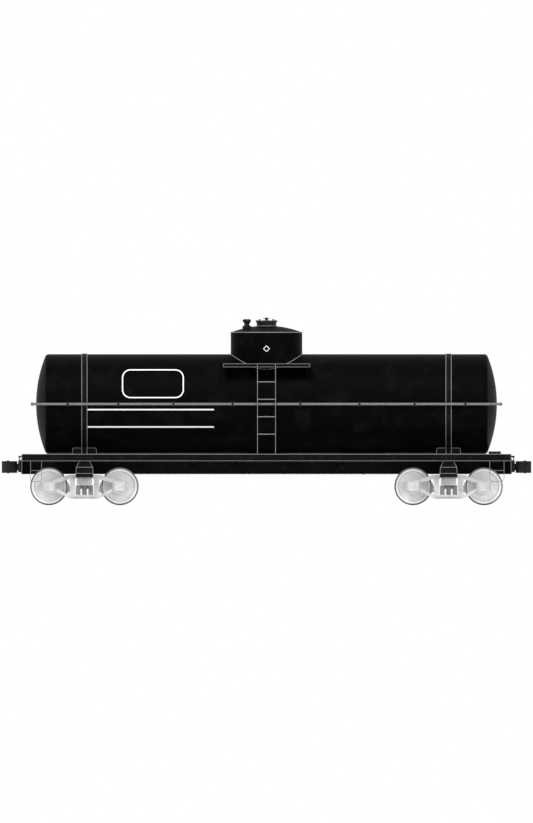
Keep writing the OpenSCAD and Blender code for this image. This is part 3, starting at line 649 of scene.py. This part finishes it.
def ribbon(name, outer, inner, place, closed, mat, slotName):
    # a painted band between two outlines in X and Z, laid on the tank or dome, on both sides of the car
    bm = bmesh.new()
    for hand in (-1, 1):
        rows = []
        for (ox, oz), (ix, iz) in zip(outer, inner):
            # the far side is the near one turned round, so that each reads the same from its own side
            sx = 1 if hand < 0 else -1
            corners = ((ox, oz, "proud"), (ix, iz, "proud"), (ix, iz, "sunk"), (ox, oz, "sunk"))
            rows.append([bm.verts.new(place(sx * x, z, hand, marks[lift])) for x, z, lift in corners])
        count = len(rows)
        for i in range(count if closed else count - 1):
            a, b = rows[i], rows[(i + 1) % count]
            for k in range(4):
                bm.faces.new((a[k], a[(k + 1) % 4], b[(k + 1) % 4], b[k]))
        if not closed:
            bm.faces.new(rows[0][::-1])
            bm.faces.new(rows[-1])
    bmesh.ops.recalc_face_normals(bm, faces=bm.faces)
    mesh = bpy.data.meshes.new(name)
    bm.to_mesh(mesh)
    bm.free()
    mesh.materials.append(mats[mat])
    return settle(name, mesh, "car_body")


def densify(outer, inner, step=0.03):
    # splits the long sides of a closed pair of outlines alike, so that they follow the tank's curve
    more = ([], [])
    for i in range(len(outer)):
        k = (i + 1) % len(outer)
        parts = max(1, int((Vector(outer[k]) - Vector(outer[i])).length / step))
        for found, line in zip(more, (outer, inner)):
            a, b = Vector(line[i]), Vector(line[k])
            found.extend(tuple(a + (b - a) * (n / parts)) for n in range(parts))
    return more


def roundedPanel(x0, x1, z0, z1, radius, steps=10):
    corners = ((x1 - radius, z1 - radius, 0), (x0 + radius, z1 - radius, 90),
               (x0 + radius, z0 + radius, 180), (x1 - radius, z0 + radius, 270))
    found = []
    for cx, cz, a0 in corners:
        for i in range(steps + 1):
            a = math.radians(a0 + 90 * i / steps)
            found.append((cx + radius * math.cos(a), cz + radius * math.sin(a)))
    return found


def paintedMarks():
    x0, x1 = marks["stripeX"]
    half = marks["stripeW"] / 2
    for i, z in enumerate(marks["stripeZ"]):
        top = [(x0 + (x1 - x0) * k / 8, z + half) for k in range(9)]
        low = [(x, z - half) for x, _ in top]
        ribbon(f"stripe{i + 1}", top, low, onTank, False, "stencilWhite", "stencil_white")
    (px0, px1), (pz0, pz1) = marks["panelX"], marks["panelZ"]
    line, corner = marks["panelLine"], marks["panelCorner"]
    outer = roundedPanel(px0, px1, pz0, pz1, corner)
    inner = roundedPanel(px0 + line, px1 - line, pz0 + line, pz1 - line, corner - line)
    ribbon("panelOutline", *densify(outer, inner), onTank, True, "stencilWhite", "stencil_white")
    s, w, cz = marks["diamond"] / 2, marks["diamondLine"], marks["diamondZ"]
    outer = [(0, cz + s), (s, cz), (0, cz - s), (-s, cz)]
    inner = [(0, cz + s - w), (s - w, cz), (0, cz - s + w), (-s + w, cz)]
    ribbon("domeDiamond", *densify(outer, inner), onDome, True, "stencilWhite", "stencil_white")


tankWelds()
strapEdges()
paintedMarks()
print("tank and marks made")


# dome, platforms, ladders and handrail

cover = dict(plateTop=0.024, nuts=12, nut=0.013, nutHeight=0.014, nutInset=0.026, hingeHalf=0.05,
             line=0.0035, lineDrop=0.004, lineGap=0.15)
valve = dict(nuts=8, nut=0.0088, nutHeight=0.012, ring=0.094, flangeDown=0.173)
neck = dict(bead=0.011, inset=0.017, lift=0.001)


def domeFittings():
    low, high = boxOf("manway_cover")
    rim, top = high.x, low.z + cover["plateTop"]
    ring = ringPoints((0, 0, top - sunk), rim - cover["nutInset"], cover["nuts"], "Z", (0, 0, 1),
                      start=pi / cover["nuts"])
    ring = [p for p in ring if not (abs(p[0].x) < cover["hingeHalf"] and p[0].y > 0)]
    boltGroup("coverNuts", ring, cover["nut"], cover["nutHeight"], "cover")
    edge = [p for p in circle((0, 0, top - cover["lineDrop"]), rim, "Z", 96)
            if not (abs(p[0]) < cover["lineGap"] * rim and p[1] > 0)]
    lineLoops("coverRimLine", [edge], cover["line"], body="cover", closed=False)
    low, high = boxOf("safety_valve")
    flange = high.z - valve["flangeDown"]
    centre = ((low.x + high.x) / 2, (low.y + high.y) / 2, flange - sunk)
    ring = ringPoints(centre, valve["ring"], valve["nuts"], "Z", (0, 0, 1))
    boltGroup("valveNuts", ring, valve["nut"], valve["nutHeight"], "car_body", "fittingBlack")
    low, high = boxOf("manway_neck")
    foot = circle((0, 0, domeTop + neck["lift"]), (high.x - low.x) / 2 - neck["inset"], "Z", 90)
    lineLoops("neckWeld", [foot], neck["bead"])


platforms = dict(pitch=0.055, stud=0.010, studHeight=0.0022, endGap=0.03, sideGap=0.025, tankGap=0.106,
                 domeGap=0.035, depth=0.076, line=0.008, boltInset=0.066, boltDown=(0.028, 0.05), bolt=0.008)


def platformDetail():
    half, outer, top = boxOf("dome_platforms")[1]
    inner = math.sqrt(tankR ** 2 - (top - tankZ) ** 2) + platforms["tankGap"]
    step = platforms["pitch"]
    nx = int((2 * half - 2 * platforms["endGap"]) / step)
    ny = int((outer - inner - 2 * platforms["sideGap"]) / step)
    studs = []
    for i in range(nx + 1):
        for k in range(ny + 1):
            x = -half + platforms["endGap"] + i * step
            y = inner + platforms["sideGap"] + k * step + (0.5 * step if i % 2 and k < ny else 0)
            if math.hypot(x, y) > domeR + platforms["domeGap"]:
                studs.append((Vector((x, y, top - sunk)), Vector((0, 0, 1))))
    boltGroup("platformStuds", mirrored(studs, y=True), platforms["stud"], platforms["studHeight"], sides=4,
              crown=0.5)
    under = top - platforms["depth"]
    loops = [[(-half, y, top), (half, y, top), (half, y, under), (-half, y, under)] for y in (-outer, outer)]
    lineLoops("platformEdges", loops, platforms["line"])
    bolts = []
    for x in (-half + platforms["boltInset"], 0.0, half - platforms["boltInset"]):
        bolts += row(*[(x, outer - 2 * sunk, top - down) for down in platforms["boltDown"]], 2, (0, 1, 0))
    boltGroup("platformBolts", mirrored(bolts, y=True), platforms["bolt"], 0.008)


ladder = dict(rungs=5, firstRung=0.06, topDrop=0.076, inset=0.03, bolt=0.013, boltHeight=0.007)


def ladderDetail():
    high = boxOf("ladders")[1]
    gap = (high.z - ladder["topDrop"] - deckZ) / ladder["rungs"]
    bolts = []
    for x in (-1, 1):
        for i in (*range(1, ladder["rungs"]), 0):
            z = deckZ + ladder["firstRung"] + i * gap
            bolts.append((Vector((x * high.x, high.y - ladder["inset"], z)), Vector((x, 0, 0))))
    boltGroup("rungEnds", mirrored(bolts, y=True), ladder["bolt"], ladder["boltHeight"], "car_body",
              "lineGrey", sides=8, crown=0.5)


rail = dict(sleeveX=(-3.0, 0.0, 3.0), sleeveHalf=0.045, sleeve=0.004, proud=0.001,
            bracketX=(-4.7, -3.5, -2.2, -0.8, 0.8, 2.2, 3.5, 4.7), bracketThick=0.008,
            boltX=0.03, boltZ=0.045, bolt=0.009, boltHeight=0.008)


def handrailDetail():
    low, high = boxOf("handrail")
    r = (high.z - low.z) / 2
    sleeves = [circle((x + dx, high.y - r, tankZ), r + rail["proud"], "X", 24)
               for x in rail["sleeveX"] for dx in (-rail["sleeveHalf"], rail["sleeveHalf"])]
    sleeves += [[(x, -y, z) for x, y, z in loop] for loop in sleeves]
    lineLoops("railSleeves", sleeves, rail["sleeve"])
    bolts = [(Vector((x + dx, tankR + rail["bracketThick"], tankZ + dz)), Vector((0, 1, 0)))
             for x in rail["bracketX"] for dz in (-rail["boltZ"], rail["boltZ"])
             for dx in (-rail["boltX"], rail["boltX"])]
    boltGroup("bracketBolts", mirrored(bolts, y=True), rail["bolt"], rail["boltHeight"])


domeFittings()
platformDetail()
ladderDetail()
handrailDetail()
print("dome and fittings made")


# running boards

boards = dict(perSide=3, gap=0.008, joint=0.006, lengths=4, tankGap=0.058, endDepth=0.29, endCount=3,
              ease=0.0006, drop=0.0002, nail=0.007, nailHeight=0.0018,
              nailX=(-5.6, -5.0, -4.3, -3.0, -1.7, -0.65, 0.65, 1.7, 3.0, 4.3, 5.0, 5.6))
boardsInner = tankR - boards["tankGap"]


def plankPiece(name, points, size, body, *nodes, turn=0.0, count=3, step=(0, 0.1, 0), seed=5):
    base = bpy.data.meshes.new("points")
    base.from_pydata([tuple(p) for p in points], [], [])
    piece = grow(name, trees["planks"], base,
                 {"Length": size[0], "Width": size[1], "Thickness": size[2], "Count": count, "Step": step,
                  "Turn": turn, "Seed": seed}, mats["boardWood"], body)
    if nodes:
        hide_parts(*nodes)
    return piece


def runningBoards():
    low, high = boxOf("running_boards")
    thick = high.z - low.z - boards["ease"]
    width = (high.y - boardsInner) / boards["perSide"]
    length = 2 * high.x / boards["lengths"]
    starts = [(-high.x + (i + 0.5) * length, y0, (low.z + high.z) / 2 - boards["drop"])
              for y0 in (-high.y + width / 2, boardsInner + width / 2) for i in range(boards["lengths"])]
    plankPiece("runningPlanks", starts, (length - boards["joint"], width - boards["gap"], thick),
               "car_body", "running_boards", step=(0, width, 0), count=boards["perSide"], seed=5)
    low, high = boxOf("end_platforms")
    thick = high.z - low.z - boards["ease"]
    wide = boards["endDepth"] / boards["endCount"]
    starts = [(end * (high.x - boards["endDepth"] / 2) - wide, 0, (low.z + high.z) / 2 - boards["drop"])
              for end in (-1, 1)]
    plankPiece("endPlanks", starts, (2 * high.y - 0.004, wide - boards["gap"], thick), "car_body",
               "end_platforms", turn=pi / 2, step=(wide, 0, 0), count=boards["endCount"], seed=8)


stepBoards = dict(count=3, gap=0.004, thick=0.030, bearers=5, bearerPitch=0.31, bearerWide=0.05,
                  nail=0.006, nailHeight=0.0016)


def brakeStep():
    low, high = boxOf("brake_platform")
    wide = (high.x - low.x) / stepBoards["count"]
    thick, pitch, bearers = stepBoards["thick"], stepBoards["bearerPitch"], stepBoards["bearers"]
    firstY = -pitch * (bearers - 1) / 2
    plankPiece("stepPlanks", [(low.x + wide / 2, 0, high.z - thick / 2 - boards["drop"])],
               (high.y - low.y, wide - stepBoards["gap"], thick - 0.001), "car_body", "brake_platform",
               turn=pi / 2, step=(wide, 0, 0), count=stepBoards["count"], seed=11)
    bearer = (high.x - low.x - 0.004, stepBoards["bearerWide"], high.z - low.z - thick)
    plankPiece("stepBearers", [((low.x + high.x) / 2, firstY, low.z + bearer[2] / 2 + 0.001)], bearer,
               "car_body", step=(0, pitch, 0), count=bearers, seed=2)
    nails = []
    for y in [firstY + pitch * k for k in range(bearers)]:
        for i in range(stepBoards["count"]):
            x, z = low.x + wide * (i + 0.5), high.z - 2 * sunk
            nails += row((x - wide * 0.25, y, z), (x + wide * 0.25, y, z), 2, (0, 0, 1))
    boltGroup("stepNails", nails, stepBoards["nail"], stepBoards["nailHeight"], sides=8, crown=0.5)


def boardBolts():
    width = (carY - boardsInner) / boards["perSide"]
    heads = []
    for x in boards["nailX"]:
        for k in range(boards["perSide"]):
            y, z = boardsInner + width * (k + 0.5), deckZ - sunk
            heads += row((x, y - width * 0.25, z), (x, y + width * 0.25, z), 2, (0, 0, 1))
    boltGroup("boardBolts", mirrored(heads, y=True), boards["nail"], boards["nailHeight"], sides=8, crown=0.5)


runningBoards()
brakeStep()
boardBolts()
print("boards made")


# pale edge lines on the underframe

channel = dict(line=0.008, endGap=0.003, topIn=0.001, footUp=0.005,
               postIn=0.002, postSunk=0.006, postTop=0.004)
endSill = dict(turnY=0.59, turnDown=0.04, footY=0.43, lineDown=0.003, rivetIn=0.035, sideIn=0.06,
               topFrom=0.1, topCount=8, lowFrom=0.68, lowCount=5, postY=(0.29, 0.38), postUp=0.06,
               postDown=0.02, strikerOut=0.022, strikerY=0.18, strikerIn=0.045, rivetHeight=0.009)
saddle = dict(line=0.007, half=0.254, corner=0.024, cornerSteps=6, footHalf=0.2866,
              rivetHalf=0.23, rivetUp=(0.03, 0.105), rivetCount=6)
bolster = dict(line=0.007, top=(0.114, 0.006), shoulder=(0.193, 0.158), foot=(0.202, 0.016), padHalf=0.210,
               neckX=0.07, neckZ=(-0.13, -0.03), footHalf=0.15, footUp=0.06, padRivets=0.16, padUp=0.045)


def deckLines():
    line = channel["line"]
    deck = [[(x, hand * (carY - line), z) for x in (channel["endGap"] - endX, endX - channel["endGap"])]
            for hand in (-1, 1) for z in (deckZ - channel["topIn"], channelZ - channel["footUp"])]
    lineLoops("deckEdges", deck, line, closed=False)
    turn, drop, foot = endSill["turnY"], channelZ - endSill["turnDown"], endSill["footY"]
    plate = [(-carY, deckZ), (carY, deckZ), (carY, channelZ), (turn, drop), (foot, sillZ), (-foot, sillZ),
             (-turn, drop), (-carY, channelZ)]
    ends = [[(end * endX, max(line - carY, min(carY - line, y)), z - endSill["lineDown"]) for y, z in plate]
            for end in (-1, 1)]
    lineLoops("endSillEdges", ends, line)
    posts = [[(end * (endX - channel["postIn"]), hand * (carY - channel["postSunk"]), z)
              for z in (channelZ, deckZ - channel["postTop"])] for end in (-1, 1) for hand in (-1, 1)]
    lineLoops("channelEnds", posts, line, closed=False)
    low, high = boxOf("centre_sill")
    sills = [[(x, hand * (high.y - 0.002), low.z + 0.004) for x in (-high.x, high.x)] for hand in (-1, 1)]
    lineLoops("sillEdges", sills, bolster["line"], closed=False)


def atEachBolster(outline, face):
    # both ends and both sides: the outline's points are (distance from the truck's centre, height)
    return [[(end * truckX + dx, hand * face, z) for dx, z in outline] for end in (-1, 1) for hand in (-1, 1)]


def saddleLines():
    top = boxOf("tank_saddles")[1]
    half, corner, steps = saddle["half"], saddle["corner"], saddle["cornerSteps"]
    turns = [pi / 2 * i / steps for i in range(steps + 1)]
    side = [(half + corner * math.sin(a), top.z - corner + corner * math.cos(a)) for a in turns]
    side.append((saddle["footHalf"], deckZ))
    loops = atEachBolster([(-dx, z) for dx, z in side[::-1]] + side, top.y)
    lineLoops("saddleEdges", loops, saddle["line"], closed=False)


def bolsterLines():
    low, high = boxOf("body_bolsters")
    side = [(bolster["top"][0], channelZ - bolster["top"][1]),
            (bolster["shoulder"][0], channelZ - bolster["shoulder"][1]),
            (bolster["foot"][0], sillZ + bolster["foot"][1]), (bolster["padHalf"], low.z)]
    loops = atEachBolster([(-dx, z) for dx, z in side] + side[::-1], high.y)
    for dx, z in side[1:3]:
        loops += atEachBolster([(-dx, z), (dx, z)], high.y)
    lineLoops("bolsterEdges", loops, bolster["line"], closed=False)


# rivets and bolts of the underframe
underframe = dict(channelRivet=0.011, channelHeight=0.0025, bracketX=(0.65, 1.7, 3.0), bracketHalf=0.03,
                  truckOffsets=(-0.16, -0.06, 0.06, 0.16), endOffset=0.1, endHalf=0.035,
                  channelZ=(0.035, -0.05), rivet=0.012, rivetHeight=0.008, sillPitch=0.16, sillStart=0.08,
                  sillEnd=0.15, bolsterClear=0.26, webInset=0.09, webZ=(0.05, -0.035), flangeIn=0.045)


def channelRivets():
    half, end = underframe["bracketHalf"], underframe["endHalf"]
    spots = [(x, (-half, half)) for x in underframe["bracketX"]]
    spots += [(truckX, underframe["truckOffsets"]), (endX - underframe["endOffset"], (-end, end))]
    levels = (channelZ + underframe["channelZ"][0], deckZ + underframe["channelZ"][1])
    found = []
    for x, offsets in spots:
        for dx in offsets:
            ends = [(x + dx, carY - sunk, z) for z in levels]
            found += row(*ends, 3, (0, 1, 0))
    boltGroup("channelRivets", mirrored(found, x=True, y=True), underframe["channelRivet"],
              underframe["channelHeight"], sides=10, crown=0.6)


def endRivets():
    side, top, low = carY - endSill["sideIn"], deckZ - endSill["rivetIn"], channelZ + endSill["rivetIn"]
    found = row((endX, endSill["topFrom"], top), (endX, side, top), endSill["topCount"], (1, 0, 0))
    found += row((endX, endSill["lowFrom"], low), (endX, side, low), endSill["lowCount"], (1, 0, 0))
    for y in endSill["postY"]:
        ends = [(endX, y, z) for z in (sillZ + endSill["postUp"], channelZ - endSill["postDown"])]
        found += row(*ends, 4, (1, 0, 0))
    low, high = boxOf("strikers")
    x, y = endX + endSill["strikerOut"], endSill["strikerY"]
    found += row((x, y, low.z + endSill["strikerIn"]), (x, y, high.z - endSill["strikerIn"]), 4, (1, 0, 0))
    boltGroup("endRivets", mirrored(found, x=True, y=True), underframe["rivet"], endSill["rivetHeight"],
              sides=10, crown=0.6)


def sillRivets():
    low, high = boxOf("centre_sill")
    web = high.y - underframe["webInset"]
    pitch = underframe["sillPitch"]
    levels = (low.z + underframe["webZ"][0], high.z + underframe["webZ"][1])
    found = []
    for i in range(int((high.x - underframe["sillEnd"]) / pitch)):
        x = underframe["sillStart"] + i * pitch
        if abs(x - truckX) < underframe["bolsterClear"]:
            continue
        found += [(Vector((x, web, z)), Vector((0, 1, 0))) for z in levels]
        found.append((Vector((x, web + underframe["flangeIn"], low.z)), Vector((0, 0, -1))))
    boltGroup("sillRivets", mirrored(found, x=True, y=True), underframe["rivet"], underframe["rivetHeight"],
              sides=8, crown=0.6)


def bolsterRivets():
    low, high = boxOf("body_bolsters")
    saddleY = boxOf("tank_saddles")[1].y
    found = []
    for x in (truckX - bolster["neckX"], truckX + bolster["neckX"]):
        found += row(*[(x, high.y, channelZ + dz) for dz in bolster["neckZ"]], 3, (0, 1, 0))
    rows = [(bolster["footHalf"], high.y, sillZ + bolster["footUp"], 5),
            (bolster["padRivets"], high.y, low.z + bolster["padUp"], 5)]
    rows += [(saddle["rivetHalf"], saddleY, deckZ + up, saddle["rivetCount"]) for up in saddle["rivetUp"]]
    for half, y, z, count in rows:
        found += row((truckX - half, y, z), (truckX + half, y, z), count, (0, 1, 0))
    boltGroup("bolsterRivets", mirrored(found, x=True, y=True), underframe["rivet"],
              underframe["rivetHeight"], sides=10, crown=0.6)


deckLines()
saddleLines()
bolsterLines()
channelRivets()
endRivets()
sillRivets()
bolsterRivets()
print("underframe riveted")


# brake gear and outlets under the car

reservoir = dict(bands=(0.06, 0.22), band=0.007, plug=0.022, plugHeight=0.018)
cylinder = dict(flangeBack=0.45, flangeNuts=10, flangeInset=0.011, headNuts=6, headRing=0.086, nut=0.009,
                nutHeight=0.01)
valveBody = dict(boltX=(0.118, 0.202), boltUp=0.022, boltDown=0.042, bolt=0.009, boltHeight=0.01)
outlet = dict(flangeZ=1.041, inset=0.14, ring=0.094, nuts=8, nut=0.009, nutHeight=0.012)


def brakeGear():
    low, high = boxOf("air_reservoir")
    r = (high.z - low.z) / 2
    near, far = reservoir["bands"]
    bands = [circle((x, high.y - r, low.z + r), r, "X", 60)
             for x in (low.x + near, low.x + far, high.x - far, high.x - near)]
    lineLoops("reservoirBands", bands, reservoir["band"], "fittingBlack", "car_body")
    plug = (Vector(((low.x + high.x) / 2, high.y - r, low.z + 0.004)), Vector((0, 0, -1)))
    boltGroup("drainPlug", [plug], reservoir["plug"], reservoir["plugHeight"])
    low, high = boxOf("brake_cylinder")
    r = (high.z - low.z) / 2
    y, z = high.y - r, low.z + r
    bolts = ringPoints((high.x - cylinder["flangeBack"], y, z), r - cylinder["flangeInset"],
                       cylinder["flangeNuts"], "X", (-1, 0, 0))
    bolts += ringPoints((high.x - sunk, y, z), cylinder["headRing"], cylinder["headNuts"], "X", (1, 0, 0))
    boltGroup("cylinderBolts", bolts, cylinder["nut"], cylinder["nutHeight"])
    low, high = boxOf("brake_valve")
    levels = (low.z + valveBody["boltUp"], high.z - valveBody["boltDown"])
    corners = [(Vector((low.x + dx, high.y - sunk, z)), Vector((0, 1, 0)))
               for dx in valveBody["boltX"] for z in levels]
    boltGroup("valveBodyBolts", corners, valveBody["bolt"], valveBody["boltHeight"])
    low, high = boxOf("bottom_outlet")
    ring = ringPoints(((low.x + high.x) / 2, high.y - outlet["inset"], outlet["flangeZ"]), outlet["ring"],
                      outlet["nuts"], "Z", (0, 0, -1))
    boltGroup("outletNuts", ring, outlet["nut"], outlet["nutHeight"])


brakeGear()
print("brake gear detailed")


# trucks

springs = dict(outerR=0.049, outerWire=0.0125, outerTurns=6.25, innerR=0.024, innerWire=0.007, innerTurns=8.5,
               spread=0.15, outset=0.036, edgeGap=0.013, seat=0.06, seatHeight=0.009)


def truckSprings():
    for t, end in (("a", -1), ("b", 1)):
        low, high = boxOf(f"truck_{t}_springs")
        midY = high.y - springs["outerR"] - springs["edgeGap"] - springs["outset"]
        spots = [(end * truckX + dx, hand * (midY + (springs["outset"] if dx else 0)))
                 for hand in (-1, 1) for dx in (-springs["spread"], 0, springs["spread"])]
        for kind in ("outer", "inner"):
            wire = springs[kind + "Wire"]
            base = bpy.data.meshes.new("points")
            base.from_pydata([(x, y, low.z + wire) for x, y in spots], [], [])
            coils = grow(f"{kind}Coils_{t}", trees["coils"], base,
                         {"Coil Radius": springs[kind + "R"], "Wire Radius": wire,
                          "Height": high.z - low.z - 2 * wire, "Turns": springs[kind + "Turns"]},
                         mats["springSteel"], f"truck_{t}")
            if kind == "outer":
                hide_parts(f"truck_{t}_springs")
        seats = [(Vector((x, y, z)), Vector((0, 0, aim))) for x, y in spots
                 for z, aim in ((low.z, 1), (high.z, -1))]
        boltGroup(f"springSeats_{t}", seats, springs["seat"], springs["seatHeight"], f"truck_{t}",
                  "castGrey", sides=28, crown=0.9)


truckBolts = dict(column=0.013, columnX=0.262, columnZ=(-0.14, 0.14), frameInset=0.072,
                  box=0.009, boxX=0.128, boxZ=(-0.12, 0.1), lidBoss=0.026, lidOut=0.0195,
                  lidAim=(0, 0.997, 0.0775), bolster=0.012, bolsterX=0.14, bolsterZ=(0.06, 0.16))


def truckBoltsAndBosses():
    size = truckBolts
    for t, end in (("a", -1), ("b", 1)):
        body = f"truck_{t}"
        boxOut = boxOf(f"truck_{t}_side_frames")[1].y
        face = boxOut - size["frameInset"] - sunk
        cx = end * truckX
        columns, boxes, bosses = [], [], []
        for x in (cx - size["columnX"], cx + size["columnX"]):
            columns += row(*[(x, face, axleZ + dz) for dz in size["columnZ"]], 4, (0, 1, 0))
        boltGroup(f"columnBolts_{t}", mirrored(columns, y=True), size["column"], 0.012, body,
                  "castGrey")
        for wx in (cx - axleX, cx + axleX):
            for x in (wx - size["boxX"], wx + size["boxX"]):
                boxes += row(*[(x, boxOut - sunk, axleZ + dz) for dz in size["boxZ"]], 3, (0, 1, 0))
            bosses.append((Vector((wx, boxOut + size["lidOut"], axleZ)), Vector(size["lidAim"])))
        boltGroup(f"boxBolts_{t}", mirrored(boxes, y=True), size["box"], 0.008, body,
                  "castGrey")
        boltGroup(f"lidBosses_{t}", mirrored(bosses, y=True), size["lidBoss"], 0.007, body,
                  "castGrey", sides=24, crown=0.85)
        bolsterEnd = boxOf(f"truck_{t}_bolster")[1].y - sunk
        ends = [(Vector((cx + dx, bolsterEnd, axleZ + dz)), Vector((0, 1, 0)))
                for dx in (-size["bolsterX"], size["bolsterX"]) for dz in size["bolsterZ"]]
        boltGroup(f"bolsterBolts_{t}", mirrored(ends, y=True), size["bolster"], 0.01, body,
                  "castGrey")


truckSprings()
truckBoltsAndBosses()
print("trucks detailed")
